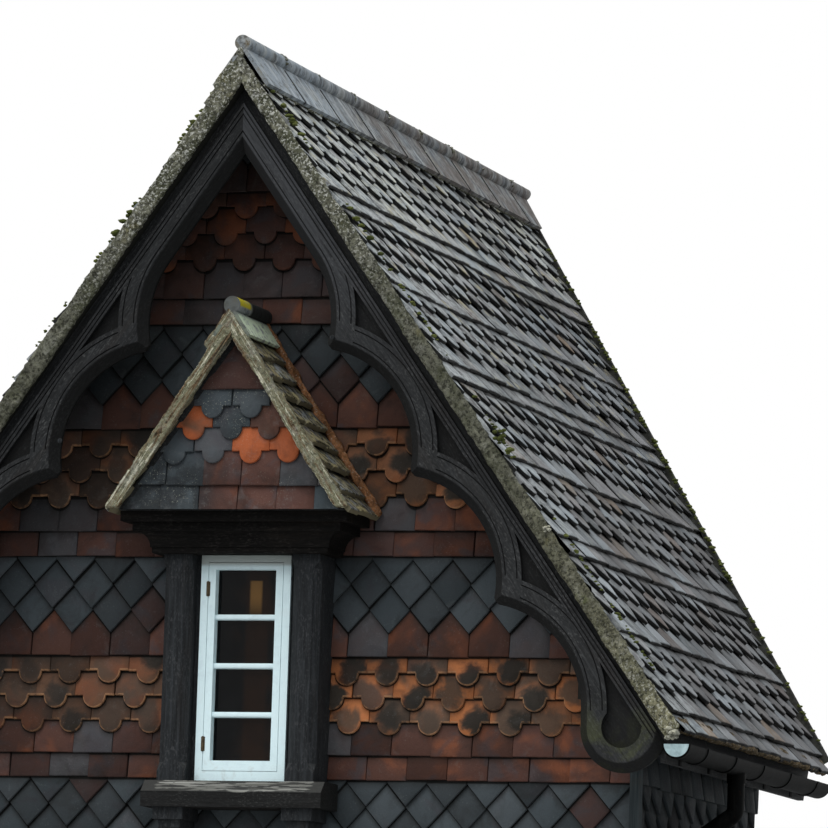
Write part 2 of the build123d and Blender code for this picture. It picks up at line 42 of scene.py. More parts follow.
# Places in metres, as in the part's source
WALL_FACE = -0.110          # front of the tile hanging
SIDE_FACE = 1.590           # outside of the tile hanging on the side walls
SIDE_TOP = 0.722            # under the eaves boarding
CORNER_BACK = -0.069        # back of the corner boards
CORNER_X = 1.559            # inner side of the corner boards
FRONT_REACH = 1.560         # no tile on the front starts further out
SOFFIT_DROP = 0.1768        # soffit under the planes of the slopes
VERGE_Y = -0.485
RIDGE_Z = 3.2411            # where the planes of the slopes meet
SOFFIT_TOP = RIDGE_Z - 0.175    # where the soffits meet, or just over it
PITCH = math.radians(54.54)
TAN, COS, SIN = math.tan(PITCH), math.cos(PITCH), math.sin(PITCH)
EAVES_S = 3.2473            # foot of the tiles, down the slope from the ridge line
ROOF_GAUGE = 0.09244
RIDGE_TILE_L = 0.450
RIDGE_ROLL_R = 0.031
RIDGE_ROLL_Z = RIDGE_Z + 0.0276
MAIN_PITCH = math.radians(59.4)
MAIN_TAN, MAIN_COS, MAIN_SIN = math.tan(MAIN_PITCH), math.cos(MAIN_PITCH), math.sin(MAIN_PITCH)
MAIN_ROOF = (0, MAIN_SIN, -MAIN_COS)    # towards the back, square to the main roof
FOOT_BACK = 1.500           # where the main roof's plane meets the floor
POST_X1 = 0.324
FRAME_Z0, FRAME_Z1 = 0.379, 1.270
CORNICE_Z1 = 1.428
HOOD_PITCH = math.radians(56.6)
HOOD_TAN, HOOD_COS, HOOD_SIN = math.tan(HOOD_PITCH), math.cos(HOOD_PITCH), math.sin(HOOD_PITCH)
HOOD_HALF = 0.510
HOOD_APEX = CORNICE_Z1 + HOOD_HALF * HOOD_TAN
HOOD_RUN = HOOD_HALF / HOOD_COS
HOOD_Y = -0.500
GABLE_FACE = -0.450
BARGE_FACE = -0.4440

# One tile
TILE_W = 0.1640
TILE_L = 0.205
TILE_T = 0.012
PITCH_W = 0.1655            # a tile and its joint
HALF_PITCH = 0.0828
TONGUE_R = 0.0475           # a club's round tongue
SHOULDER_Z = 0.050          # a club's square shoulders above its tail
POINT_Z = 0.094             # rise of a pointed tile's sides


# Mesh helpers
def only(obj):
    bpy.ops.object.select_all(action="DESELECT")
    obj.select_set(True)
    bpy.context.view_layer.objects.active = obj


def edit(obj):
    """Only this object is selected and open in edit mode, with nothing picked."""
    only(obj)
    bpy.ops.object.mode_set(mode="EDIT")
    bpy.ops.mesh.select_all(action="DESELECT")


def pick(obj, kind, test):
    """Selects the edges or faces whose middle passes the test."""
    bpy.ops.mesh.select_mode(type=kind)
    bpy.ops.mesh.select_all(action="DESELECT")
    mesh = bmesh.from_edit_mesh(obj.data)
    for item in mesh.edges if kind == "EDGE" else mesh.faces:
        if kind == "EDGE":
            middle = (item.verts[0].co + item.verts[1].co) / 2
        else:
            middle = item.calc_center_median()
        if test(middle, item):
            item.select_set(True)
    mesh.select_flush_mode()
    bmesh.update_edit_mesh(obj.data)


def done(obj):
    bpy.ops.object.mode_set(mode="OBJECT")
    bpy.ops.object.select_all(action="DESELECT")
    return obj


def named(obj, name):
    obj.name = name
    obj.data.name = name
    return obj


def settle(obj, name):
    """Object at the origin, unturned and unscaled, its place in its mesh."""
    only(obj)
    bpy.ops.object.transform_apply(location=True, rotation=True, scale=True)
    return named(obj, name)


def linked(obj):
    bpy.context.scene.collection.objects.link(obj)
    return obj


def copied(obj):
    twin = obj.copy()
    twin.data = obj.data.copy()
    return linked(twin)


def box(name, low, high):
    middle = [(high[i] + low[i]) / 2 for i in range(3)]
    bpy.ops.mesh.primitive_cube_add(size=1, location=middle)
    obj = bpy.context.object
    obj.scale = [high[i] - low[i] for i in range(3)]
    return settle(obj, name)


def rod(name, radius, start, end, sides):
    """Round bar from start to end."""
    start, end = Vector(start), Vector(end)
    along = end - start
    bpy.ops.mesh.primitive_cylinder_add(vertices=sides, radius=radius, depth=along.length,
                                        location=(start + end) / 2)
    obj = bpy.context.object
    obj.rotation_mode = "QUATERNION"
    obj.rotation_quaternion = Vector((0, 0, 1)).rotation_difference(along.normalized())
    return settle(obj, name)


def apply_all(obj):
    only(obj)
    for modifier in list(obj.modifiers):
        bpy.ops.object.modifier_apply(modifier=modifier.name)


def smooth(obj, angle=50):
    only(obj)
    bpy.ops.object.shade_smooth_by_angle(angle=math.radians(angle))
    return obj


def soften(obj, width, segments):
    """Small rounded edges, then smooth shading between them."""
    bevel = obj.modifiers.new("edges", "BEVEL")
    bevel.width = width
    bevel.segments = segments
    bevel.limit_method = "ANGLE"
    bevel.angle_limit = math.radians(30)
    apply_all(obj)
    return smooth(obj, 35)


def join(objects, name):
    bpy.ops.object.select_all(action="DESELECT")
    for obj in objects:
        obj.select_set(True)
    bpy.context.view_layer.objects.active = objects[0]
    bpy.ops.object.join()
    return named(bpy.context.object, name)


def cut(obj, point, normal):
    """Takes away what lies beyond a plane, on the side its normal points to."""
    edit(obj)
    bpy.ops.mesh.select_all(action="SELECT")
    bpy.ops.mesh.bisect(plane_co=point, plane_no=normal, use_fill=True,
                        clear_outer=True, clear_inner=False, threshold=0.00001)
    return done(obj)


def score(places):
    """Edge loops across the open mesh at these places on X."""
    for x in places:
        bpy.ops.mesh.select_all(action="SELECT")
        bpy.ops.mesh.bisect(plane_co=(x, 0, 0), plane_no=(1, 0, 0))


def from_lists(name, verts, faces):
    mesh = bpy.data.meshes.new(name)
    mesh.from_pydata(verts, [], faces)
    mesh.update()
    return mesh


def paint(obj, material):
    obj.data.materials.clear()
    obj.data.materials.append(material)
    return obj


def wear(obj, slot, *nodes):
    """The piece rides on the body and stands for CAD nodes; slot is not used."""
    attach(obj, "root")
    if nodes:
        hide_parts(*nodes)


# Tiles: each kind is modelled once, tail at the bottom, face at Y 0
def tile_blank():
    obj = box("tile", (-TILE_W / 2, 0, 0), (TILE_W / 2, TILE_T, TILE_L))
    edit(obj)
    score((-TILE_W * 0.27, 0, TILE_W * 0.27))
    return done(obj)


def tile_edges(obj):
    """Worn rims round the face, as fired clay has."""
    edit(obj)
    pick(obj, "EDGE", lambda m, e: m.y < 0.0005 and e.calc_face_angle(0) > 1.0)
    bpy.ops.mesh.bevel(offset=0.0022, segments=1, affect="EDGES", clamp_overlap=True)
    return smooth(done(obj))


def club_tile():
    """Square shoulders and a round tongue."""
    obj = box("tile", (-TILE_W / 2, 0, SHOULDER_Z), (TILE_W / 2, TILE_T, TILE_L))
    edit(obj)
    score((-TONGUE_R, 0, TONGUE_R))
    pick(obj, "FACE", lambda m, f: m.z < SHOULDER_Z + 0.0005 and abs(m.x) < TONGUE_R)
    bpy.ops.mesh.extrude_region_move(TRANSFORM_OT_translate={"value": (0, 0, -SHOULDER_Z)})
    pick(obj, "EDGE", lambda m, e: abs(m.z) < 0.001 and abs(abs(m.x) - TONGUE_R) < 0.001)
    bpy.ops.mesh.bevel(offset=0.0470, segments=6, affect="EDGES", clamp_overlap=True)
    return tile_edges(done(obj))


def pointed_tile():
    obj = tile_blank()
    for side in (1, -1):
        cut(obj, (0, 0, 0), (side * POINT_Z, 0, -0.083))
    return tile_edges(obj)


tile_kinds = {"plain": tile_edges(tile_blank()), "club": club_tile(), "pointed": pointed_tile()}
COURSE_CODES = {"plain": 0.0, "club": 1.0, "pointed": 2.0, None: 9.0}
UNCOVERED = 5.0             # codes above this have no course over them


class Field:
    """Many tiles in one mesh, each with its own tone, tilt and small faults."""

    def __init__(self, seed, thick=1.0, lean=7.1, wander=1.0, length=TILE_L):
        self.rng = random.Random(seed)
        self.thick, self.lean, self.wander, self.length = thick, lean, wander, length
        self.verts, self.faces = [], []
        self.tone, self.warm, self.spot, self.rim, self.over = [], [], [], [], []

    def lay(self, kind, place, tone, warm, width=1.0, lift=0.0, over=None, gauge=0.0975, off=0.0):
        """place turns tile space (X across, Y into the surface, Z up) into the row's frame.

        over is the kind of the course above, gauge its distance and off how far its
        joints lie from the half pitch: they set the painted shade along the overlap.
        """
        base = len(self.verts)
        r = self.rng
        turn = math.radians(r.gauss(0, 0.45) * self.wander)
        lean = math.radians(self.lean + r.gauss(0, 0.45))
        twist = r.gauss(0, 0.010)
        camber = 0.0016 + r.random() * 0.0018
        shift = r.gauss(0, 0.0014)
        drop = r.gauss(0, 0.0018) * self.wander
        out = r.gauss(0, 0.0009) * self.wander + lift
        scale = width * (1 + r.gauss(0, 0.004))
        ct, st = math.cos(turn), math.sin(turn)
        cl, sl = math.cos(lean), math.sin(lean)
        mesh = tile_kinds[kind].data
        for vertex in mesh.vertices:
            height = min(vertex.co.z, self.length)
            x, y, z = vertex.co.x * scale, vertex.co.y * self.thick, height
            y += camber * (x / 0.082) ** 2 + twist * x * (z - 0.05) / 0.1
            y += 0.0020 * ((z - 0.06) / 0.1) ** 2
            x, z = x * ct - z * st + shift, x * st + z * ct + drop
            y, z = y * cl + z * sl, z * cl - y * sl
            self.verts.append(place @ Vector((x, y - out, z)))
            self.tone.append(tone)
            self.warm.append(warm)
            self.spot.extend((vertex.co.x, height, tone))
            self.over.extend((COURSE_CODES[over], gauge, off))
        for face in mesh.polygons:
            self.faces.append([base + i for i in face.vertices])
            self.rim.append(0.0 if face.normal.y < -0.3 else 1.0)

    def build(self, name):
        mesh = from_lists(name, self.verts, self.faces)
        for label, values in (("tone", self.tone), ("warm", self.warm)):
            mesh.attributes.new(label, "FLOAT", "POINT").data.foreach_set("value", values)
        for label, values in (("spot", self.spot), ("over", self.over)):
            mesh.attributes.new(label, "FLOAT_VECTOR", "POINT").data.foreach_set("vector", values)
        mesh.attributes.new("rim", "FLOAT", "FACE").data.foreach_set("value", self.rim)
        return smooth(linked(bpy.data.objects.new(name, mesh)))


def plane_frame(x_axis, y_axis, origin):
    """Matrix from tile space to a plane with X across and Y into it."""
    x, y = Vector(x_axis).normalized(), Vector(y_axis).normalized()
    z = x.cross(y)
    m = Matrix.Identity(4)
    for row in range(3):
        m[row][0], m[row][1], m[row][2], m[row][3] = x[row], y[row], z[row], origin[row]
    return m


class Slope:
    """One side of a roof, right where sign is 1 and left where it is -1."""

    def __init__(self, side, sign, sine, cosine, apex):
        self.side, self.sign = side, sign
        self.out = (sign * sine, 0, cosine)
        self.frame = plane_frame((0, sign, 0), (-sign * sine, 0, -cosine), (0, 0, apex))

    def tile_place(self, along, depth, run):
        """Where a tile goes: its Y, its depth into the slope and its run down from the ridge."""
        return self.frame @ Matrix.Translation((along, depth, -run))

    def bar(self, name, y, depth, run, turn=0.0):
        """Bar along Y, into the slope and up it, turned inwards from the ridge."""
        low, high = sorted((self.sign * y[0], self.sign * y[1]))
        obj = box(name, (low, depth[0], run[0]), (high, depth[1], run[1]))
        obj.data.transform(self.frame @ Matrix.Rotation(turn, 4, "X"))
        obj.data.update()
        return obj

    def halve(self, obj, x):
        """Cuts off what crosses the middle, leaving it at x on this side."""
        return cut(obj, (self.sign * x, 0, 0), (-self.sign, 0, 0))


roof_slopes = [Slope("right", 1, SIN, COS, RIDGE_Z), Slope("left", -1, SIN, COS, RIDGE_Z)]
hood_slopes = [Slope("right", 1, HOOD_SIN, HOOD_COS, HOOD_APEX),
               Slope("left", -1, HOOD_SIN, HOOD_COS, HOOD_APEX)]


# Front wall
def course_kind(n):
    """Pattern of nine courses: two plain, three club, one plain, three pointed."""
    k = n % 9
    if k in (0, 1, 5):
        return "plain"
    return "club" if k in (2, 3, 4) else "pointed"


def course_height(n):
    """Tails' height on the front wall; the courses widen a little as they go up."""
    z = 0.405 + 0.0955 * n + 0.00027 * n * n
    if n > 18:
        return z - 0.004
    return z - {"club": 0.018, "pointed": 0.010, "plain": 0.004}[course_kind(n)]


# How far some courses start from the even bond
COURSE_SHIFT = {1: 0.016, 2: 0.003, 3: 0.016, 4: -0.011, 5: -0.011, 6: -0.010, 7: -0.010, 8: -0.006}


def course_start(n):
    return (0.070 if n % 2 == 0 else -0.013) + COURSE_SHIFT.get(n, 0.0)


def wall_tone(r, n):
    """Tone picks the fired colour, warm how red it is: slate, brown or orange."""
    kind = course_kind(n)
    if n > 17:
        tone = 0.45 + r.random() * 0.55
        return tone, {"pointed": 0.12, "club": 0.48, "plain": 0.33}[kind] + 0.16 * r.random()
    if kind == "pointed":
        warm = 0.08 + 0.14 * r.random()
        if r.random() < 0.06:
            warm = 0.42
    elif kind == "club":
        warm = r.choice([0.68, 0.72, 0.76, 0.82, 0.90, 0.98])
    else:
        warm = 0.44 + 0.15 * r.random()
        if r.random() < 0.12:
            warm = 0.30
    return r.random(), warm


def front_tiles():
    """Courses on the gable, and apart from them those that the window will cut."""
    field = Field(5)
    beside = Field(6)
    r = random.Random(23)
    half = TILE_W / 2
    for n in range(-5, 28):
        z = course_height(n)
        start = course_start(n)
        off = course_start(n + 1) - start - (PITCH_W / 2 if n % 2 else -PITCH_W / 2)
        for k in range(-11, 12):
            x = start + k * PITCH_W
            tone, warm = wall_tone(r, n)
            reach = abs(x) - half
            past_roof = z - 0.06 > SOFFIT_TOP - TAN * max(reach, 0)
            in_window = FRAME_Z0 < z + 0.02 < FRAME_Z1 - 0.02 and abs(x) + half < POST_X1 + 0.01
            if reach > FRONT_REACH or past_roof or in_window:
                continue
            level = z + 0.15 > FRAME_Z0 and z < FRAME_Z1 - 0.04
            target = beside if level and abs(x) < POST_X1 + half + 0.05 else field
            target.lay(course_kind(n), Matrix.Translation((x, WALL_FACE, z)), tone, warm,
                       over=course_kind(n + 1), gauge=course_height(n + 1) - z, off=off)
    return field.build("front_tiles"), beside.build("tiles_by_window")


def trim_front(whole, right):
    """Cuts the courses along the soffit, the corner boards, the floor and the posts."""
    left, above, below = copied(right), copied(right), copied(right)
    edge = POST_X1 + 0.001
    cut(right, (edge, 0, 0), (-1, 0, 0))
    cut(left, (-edge, 0, 0), (1, 0, 0))
    for piece in (above, below):
        cut(piece, (edge, 0, 0), (1, 0, 0))
        cut(piece, (-edge, 0, 0), (-1, 0, 0))
    cut(above, (0, 0, FRAME_Z1 + 0.001), (0, 0, -1))
    cut(below, (0, 0, FRAME_Z0 - 0.001), (0, 0, 1))
    whole = join([whole, right, left, above, below], "front_tiles")
    cut(whole, (0, 0, 0.001), (0, 0, -1))
    for slope in roof_slopes:
        cut(whole, (slope.sign * CORNER_X, 0, 0), (slope.sign, 0, 0))
        cut(whole, (0, 0, RIDGE_Z - SOFFIT_DROP), slope.out)
    return smooth(whole)


def side_tiles(side, sign, seed):
    """Small walls beside the dormer, mostly pointed tiles, cut along the main roof."""
    field = Field(seed)
    r = random.Random(seed)
    wall = plane_frame((0, sign, 0), (-sign, 0, 0), (sign * SIDE_FACE, 0, 0))
    for n in range(-5, 5):
        z = course_height(n)
        for k in range(-1, 15):
            along = sign * (-0.02 + (k + 0.5 * (n % 2)) * PITCH_W)
            field.lay("pointed" if n != 0 else "plain", wall @ Matrix.Translation((along, 0, z)),
                      r.random(), 0.12 + 0.12 * r.random(), over="pointed")
    obj = field.build("side_tiles_" + side)
    cut(obj, (0, 0, 0.001), (0, 0, -1))
    cut(obj, (0, 0, SIDE_TOP), (0, 0, 1))
    cut(obj, (0, CORNER_BACK, 0), (0, -1, 0))
    cut(obj, (0, FOOT_BACK, 0), MAIN_ROOF)
    return smooth(obj)


# Roof slopes
EAVES_WARM = (0.05, 0.02, 0.97, 0.10)    # first tiles of the lowest course


def slope_kind(k):
    """Courses up from the eaves: two plain, three club, one plain, three pointed."""
    step = k % 9
    if step in (0, 1, 5) and k < 30:
        return "plain"
    return "club" if step in (2, 3, 4) or k > 30 else "pointed"


def slope_tiles(slope, seed):
    field = Field(seed, thick=1.20, lean=9.4, wander=1.9)
    r = random.Random(seed)
    for k in range(0, 34):
        s = EAVES_S - ROOF_GAUGE * k
        wave = r.gauss(0, 0.003) if k else 0.0
        back = FOOT_BACK + (RIDGE_Z - s * SIN + 0.2) / MAIN_TAN
        for j in range(-1, 25):
            along = -0.40 + (j + 0.5 * (k % 2)) * PITCH_W
            if along - 0.09 > back:
                continue
            sway = 0.005 * math.sin(along * 2.3 + k * 0.7) + 0.004 * math.sin(along * 5.1 + k)
            along = slope.sign * along + r.gauss(0, 0.004)
            place = slope.tile_place(along, 0.004 + 0.0025 * s, s - sway - wave)
            warm = r.choice((0.82, 0.60)) if r.random() < 0.05 else 0.06 + 0.36 * r.random()
            if k == 0 and 0 <= j < 4:
                warm = EAVES_WARM[j]
            field.lay(slope_kind(k), place, r.random(), warm, lift=0.003 * r.random(),
                      over=slope_kind(k + 1), gauge=ROOF_GAUGE)
    # Under-eaves course
    for j in range(-1, 16):
        along = slope.sign * (-0.36 + j * PITCH_W)
        field.lay("plain", slope.tile_place(along, 0.026, EAVES_S - 0.005), 0.1 * r.random(), 0.85)
    obj = field.build("roof_tiles_" + slope.side)
    cut(obj, (0, VERGE_Y + 0.012, 0), (0, -1, 0))
    cut(obj, (0, FOOT_BACK - 0.025 / MAIN_COS / MAIN_TAN, 0), MAIN_ROOF)
    slope.halve(obj, 0.002)
    return smooth(obj)


# Finishes: masks and colours come from shared groups, the shader stays in each material
class Nodes:
    """Short words for the nodes of one tree."""

    def __init__(self, tree):
        self.tree = tree
        self.spot, self.axes = None, None

    def add(self, kind, **values):
        node = self.tree.nodes.new(kind)
        for key, value in values.items():
            setattr(node, key, value)
        return node

    def set(self, node, **values):
        """Plain values on a node's sockets, an underscore for each blank in a label."""
        for label, value in values.items():
            node.inputs[label.replace("_", " ")].default_value = value
        return node

    def link(self, a, b):
        self.tree.links.new(a, b)

    def feed(self, socket, value):
        if isinstance(value, (int, float)):
            socket.default_value = value
        elif isinstance(value, tuple):
            socket.default_value = value if len(value) == len(socket.default_value) else value + (1.0,)
        else:
            self.link(value, socket)

    def here(self):
        """The place on the object."""
        if not self.spot:
            self.spot = self.add("ShaderNodeTexCoord").outputs["Object"]
        return self.spot

    def split(self, vector):
        node = self.add("ShaderNodeSeparateXYZ")
        self.link(vector, node.inputs[0])
        return node.outputs["X"], node.outputs["Y"], node.outputs["Z"]

    def place(self, axis):
        if not self.axes:
            self.axes = self.split(self.here())
        return self.axes["XYZ".index(axis)]

    def facing(self, axis):
        """How far the surface looks up or to the back."""
        return self.split(self.add("ShaderNodeNewGeometry").outputs["Normal"])["XYZ".index(axis)]

    def mapped(self, vector, scale=(1, 1, 1), turn=(0, 0, 0)):
        node = self.add("ShaderNodeMapping")
        self.link(vector, node.inputs["Vector"])
        return self.set(node, Scale=scale, Rotation=turn).outputs["Vector"]

    def noise(self, vector, scale, detail=4.0, rough=0.55, warp=0.0):
        node = self.add("ShaderNodeTexNoise")
        self.link(vector, node.inputs["Vector"])
        self.set(node, Scale=scale, Detail=detail, Roughness=rough, Distortion=warp)
        return node.outputs["Fac"]

    def drawn(self, vector, scale, *how):
        """Noise drawn out along an axis by its three scales."""
        return self.noise(self.mapped(vector, scale=scale), 1.0, *how)

    def cells(self, vector, scale):
        node = self.add("ShaderNodeTexVoronoi", feature="F1")
        self.link(vector, node.inputs["Vector"])
        return self.set(node, Scale=scale).outputs["Distance"]

    def math(self, what, a, b=0.0, c=0.0):
        node = self.add("ShaderNodeMath", operation=what)
        for socket, value in zip(node.inputs, (a, b, c)):
            self.feed(socket, value)
        return node.outputs[0]

    def times(self, a, *others):
        for other in others:
            a = self.math("MULTIPLY", a, other)
        return a

    def plus(self, a, b):
        return self.math("ADD", a, b)

    def less(self, a, b):
        return self.math("SUBTRACT", a, b)

    def most(self, a, b):
        return self.math("MAXIMUM", a, b)

    def off(self, a, b=0.0):
        """Distance of a from b."""
        return self.math("ABSOLUTE", self.less(a, b))

    def step(self, value, low, high, to_low=0.0, to_high=1.0):
        node = self.add("ShaderNodeMapRange", interpolation_type="SMOOTHSTEP")
        self.feed(node.inputs["Value"], value)
        return self.set(node, From_Min=low, From_Max=high, To_Min=to_low, To_Max=to_high).outputs["Result"]

    def patch(self, low, high, *how):
        """Patches of noise, none under low and full over high."""
        return self.step(self.noise(*how), low, high)

    def along(self, axis, *bounds):
        """A step by the place along one axis."""
        return self.step(self.place(axis), *bounds)

    def ramp(self, value, stops):
        node = self.add("ShaderNodeValToRGB")
        self.feed(node.inputs["Fac"], value)
        ramp = node.color_ramp
        while len(ramp.elements) < len(stops):
            ramp.elements.new(0.5)
        for element, (place, colour) in zip(ramp.elements, stops):
            element.position = place
            element.color = colour + (1.0,)
        return node.outputs["Color"]

    def mix(self, factor, a, b, blend="MIX"):
        node = self.add("ShaderNodeMix", data_type="RGBA", blend_type=blend)
        self.feed(node.inputs["Factor"], factor)
        colours = [s for s in node.inputs if s.type == "RGBA"]
        self.feed(colours[0], a)
        self.feed(colours[1], b)
        return [s for s in node.outputs if s.type == "RGBA"][0]

    def wash(self, colour, mask, amount, other):
        """The other colour laid over this one where the mask is, as strong as the amount."""
        return self.mix(self.times(mask, amount), colour, other)

    def attribute(self, name, output="Fac"):
        node = self.add("ShaderNodeAttribute", attribute_name=name, attribute_type="GEOMETRY")
        return node.outputs[output]

    def bump(self, height, distance, strength=1.0):
        node = self.add("ShaderNodeBump")
        self.feed(node.inputs["Height"], height)
        return self.set(node, Distance=distance, Strength=strength).outputs["Normal"]

    def use(self, tree, *values):
        """Places a shared group and returns its outputs."""
        node = self.add("ShaderNodeGroup", node_tree=tree)
        for socket, value in zip(node.inputs, values):
            self.feed(socket, value)
        return tuple(node.outputs)


def shared(name, inputs, outputs, made_of):
    """A node group: made_of takes its nodes and inputs and gives one value for each output."""
    tree = bpy.data.node_groups.new(name, "ShaderNodeTree")
    for label, kind in inputs:
        tree.interface.new_socket(label, in_out="INPUT", socket_type="NodeSocket" + kind)
    for label in outputs:
        tree.interface.new_socket(label, in_out="OUTPUT", socket_type="NodeSocketFloat")
    n = Nodes(tree)
    start, end = n.add("NodeGroupInput"), n.add("NodeGroupOutput")
    made = made_of(n, *[start.outputs[label] for label, kind in inputs])
    for label, value in zip(outputs, made):
        n.link(value, end.inputs[label])
    return tree


def finish(name, colour_of, rough=0.6, specular=0.5, **plain):
    """A material whose colour, roughness and bump come from colour_of(nodes)."""
    mat = bpy.data.materials.new(name)
    mat.use_nodes = True
    mat.node_tree.nodes.clear()
    n = Nodes(mat.node_tree)
    out = n.add("ShaderNodeOutputMaterial")
    shader = n.add("ShaderNodeBsdfPrincipled")
    n.link(shader.outputs[0], out.inputs["Surface"])
    n.set(shader, Roughness=rough, Specular_IOR_Level=specular, **plain)
    made = colour_of(n)
    n.feed(shader.inputs["Base Color"], made["colour"])
    if "rough" in made:
        n.feed(shader.inputs["Roughness"], made["rough"])
    if "normal" in made:
        n.link(made["normal"], shader.inputs["Normal"])
    return mat


# Groups that several finishes share
def growth(n, where, amount):
    """Lichen crust, its yellow kind and moss."""
    patches = n.noise(where, 14.0, 6.0, 0.62, 0.6)
    spots = n.step(n.cells(where, 85.0), 0.16, 0.30, 1.0, 0.0)
    crust = n.step(n.plus(patches, n.times(amount, 0.35)), 0.60, 0.76)
    crust = n.most(crust, n.times(spots, n.step(patches, 0.48, 0.62)))
    yellow = n.times(n.patch(0.60, 0.72, where, 5.0, 3.0, 0.5, 0.3), n.step(patches, 0.45, 0.65))
    return crust, yellow, n.patch(0.62, 0.72, where, 9.0, 5.0, 0.65, 0.8)


def overlap(n, spot, over):
    """Painted shade along the tails of the course above, and the pale edge of a club's tongue, a painted
    highlight.
    """
    across, up = n.split(spot)[:2]
    kind, gauge, joint = n.split(over)
    x = n.off(across, joint)
    point = n.times(n.less(1.0, n.math("DIVIDE", x, HALF_PITCH)), POINT_Z)
    point = n.times(n.most(point, 0.0), n.math("COMPARE", kind, COURSE_CODES["pointed"], 0.5))
    beside = n.less(x, HALF_PITCH)
    arc = n.less(TONGUE_R ** 2, n.times(beside, beside))
    club = n.less(TONGUE_R + 0.001, n.math("SQRT", n.most(arc, 0.0)))
    club = n.times(club, n.math("COMPARE", kind, COURSE_CODES["club"], 0.5))
    gap = n.less(n.plus(gauge, n.plus(point, club)), up)
    covered = n.math("LESS_THAN", kind, UNCOVERED)
    line = n.times(n.step(gap, 0.0045, 0.0105, 1.0, 0.0), covered)
    fade = n.times(n.step(gap, 0.0, 0.045, 1.0, 0.0), covered)
    low = n.less(up, TONGUE_R)
    x = n.off(across)
    radius = n.math("SQRT", n.plus(n.times(x, x), n.times(low, low)))
    tongue = n.times(n.step(radius, 0.0405, 0.0455), n.step(up, 0.054, 0.046))
    shoulder = n.times(n.step(up, 0.0595, 0.0545), n.step(x, 0.044, 0.049))
    return line, fade, n.most(tongue, shoulder)


def kiln(n, own, where):
    """Blotches and soot that differ from tile to tile, and the clay's grain and pits."""
    return (n.noise(own, 9.0, 4.0, 0.6, 0.4), n.patch(0.50, 0.68, own, 5.5, 5.0, 0.6, 0.8),
            n.noise(where, 230.0, 3.0, 0.6), n.patch(0.35, 0.75, where, 60.0, 5.0, 0.65))


def grit(n, where):
    """Lumps, grain and dark holes of old mortar."""
    return (n.noise(where, 34.0, 8.0, 0.72, 0.6), n.noise(where, 320.0, 3.0, 0.6),
            n.step(n.noise(where, 75.0, 5.0, 0.7), 0.38, 0.52, 1.0, 0.0))


def timber_grain(n, along):
    """Grain, broad bands and short fibres that run up Z."""
    return (n.drawn(along, (90.0, 90.0, 5.0), 6.0, 0.66, 0.4),
            n.drawn(along, (14.0, 14.0, 1.6), 5.0, 0.6, 0.3),
            n.drawn(along, (150.0, 150.0, 60.0), 4.0, 0.75))


GROWTH = shared("growth", [("Vector", "Vector"), ("Amount", "Float")], ["Crust", "Yellow", "Moss"], growth)
OVERLAP = shared("overlap", [("Spot", "Vector"), ("Over", "Vector")], ["Line", "Fade", "Tongue"], overlap)
KILN = shared("kiln", [("Own", "Vector"), ("Vector", "Vector")], ["Blotch", "Soot", "Grain", "Pits"], kiln)
GRIT = shared("grit", [("Vector", "Vector")], ["Lumps", "Grain", "Holes"], grit)
GRAIN = shared("timber_grain", [("Vector", "Vector")], ["Grain", "Broad", "Fibres"], timber_grain)


# Fired clay
class Clay:
    """What every tile's finish reads: its places, its marks, and how it was fired."""

    def __init__(self, n):
        self.n, self.where = n, n.here()
        self.tone, self.warm = n.attribute("tone"), n.attribute("warm")
        spot = n.attribute("spot", "Vector")
        self.across, self.up = n.split(spot)[:2]
        self.line, self.fade, self.tongue = n.use(OVERLAP, spot, n.attribute("over", "Vector"))
        shift = n.add("ShaderNodeCombineXYZ")
        n.link(n.times(self.tone, 37.0), shift.inputs["X"])
        n.link(n.times(self.tone, 11.0), shift.inputs["Z"])
        moved = n.add("ShaderNodeVectorMath", operation="ADD")
        n.link(self.where, moved.inputs[0])
        n.link(shift.outputs[0], moved.inputs[1])
        self.own = moved.outputs[0]
        self.blotch, self.soot, self.grain, self.pits = n.use(KILN, self.own, self.where)
        self.hue = n.plus(self.warm, n.times(n.less(self.blotch, 0.5), 0.16))

    def part(self, gain):
        """A different share for each tile, from its tone."""
        return self.n.math("FRACT", self.n.times(self.tone, gain))


def hung_clay(c):
    """Slate blue, brown and red tiles, redder where the fire caught them; also the clubs' heat."""
    n = c.n
    colour = n.ramp(c.hue, [(0.0, (0.034, 0.044, 0.050)), (0.22, (0.052, 0.061, 0.067)),
                            (0.36, (0.060, 0.046, 0.046)), (0.50, (0.072, 0.035, 0.028)),
                            (0.62, (0.080, 0.039, 0.029)), (0.72, (0.085, 0.058, 0.043)),
                            (1.0, (0.115, 0.066, 0.042))])
    fire = n.noise(c.own, 5.0, 3.0, 0.5, 0.5)
    glow = n.times(n.step(fire, 0.50, 0.72), n.step(c.warm, 0.42, 0.52))
    colour = n.wash(colour, glow, 0.75, (0.215, 0.070, 0.032))
    cool = n.times(n.patch(0.52, 0.66, c.own, 7.0, 4.0, 0.55, 0.5),
                   n.less(1.0, n.step(c.warm, 0.60, 0.66)))
    colour = n.wash(colour, cool, 0.55, (0.047, 0.046, 0.052))
    club = n.step(c.warm, 0.645, 0.665)
    hot = n.times(club, n.step(n.plus(fire, n.times(n.less(c.warm, 0.80), 0.9)), 0.34, 0.60))
    return colour, club, hot


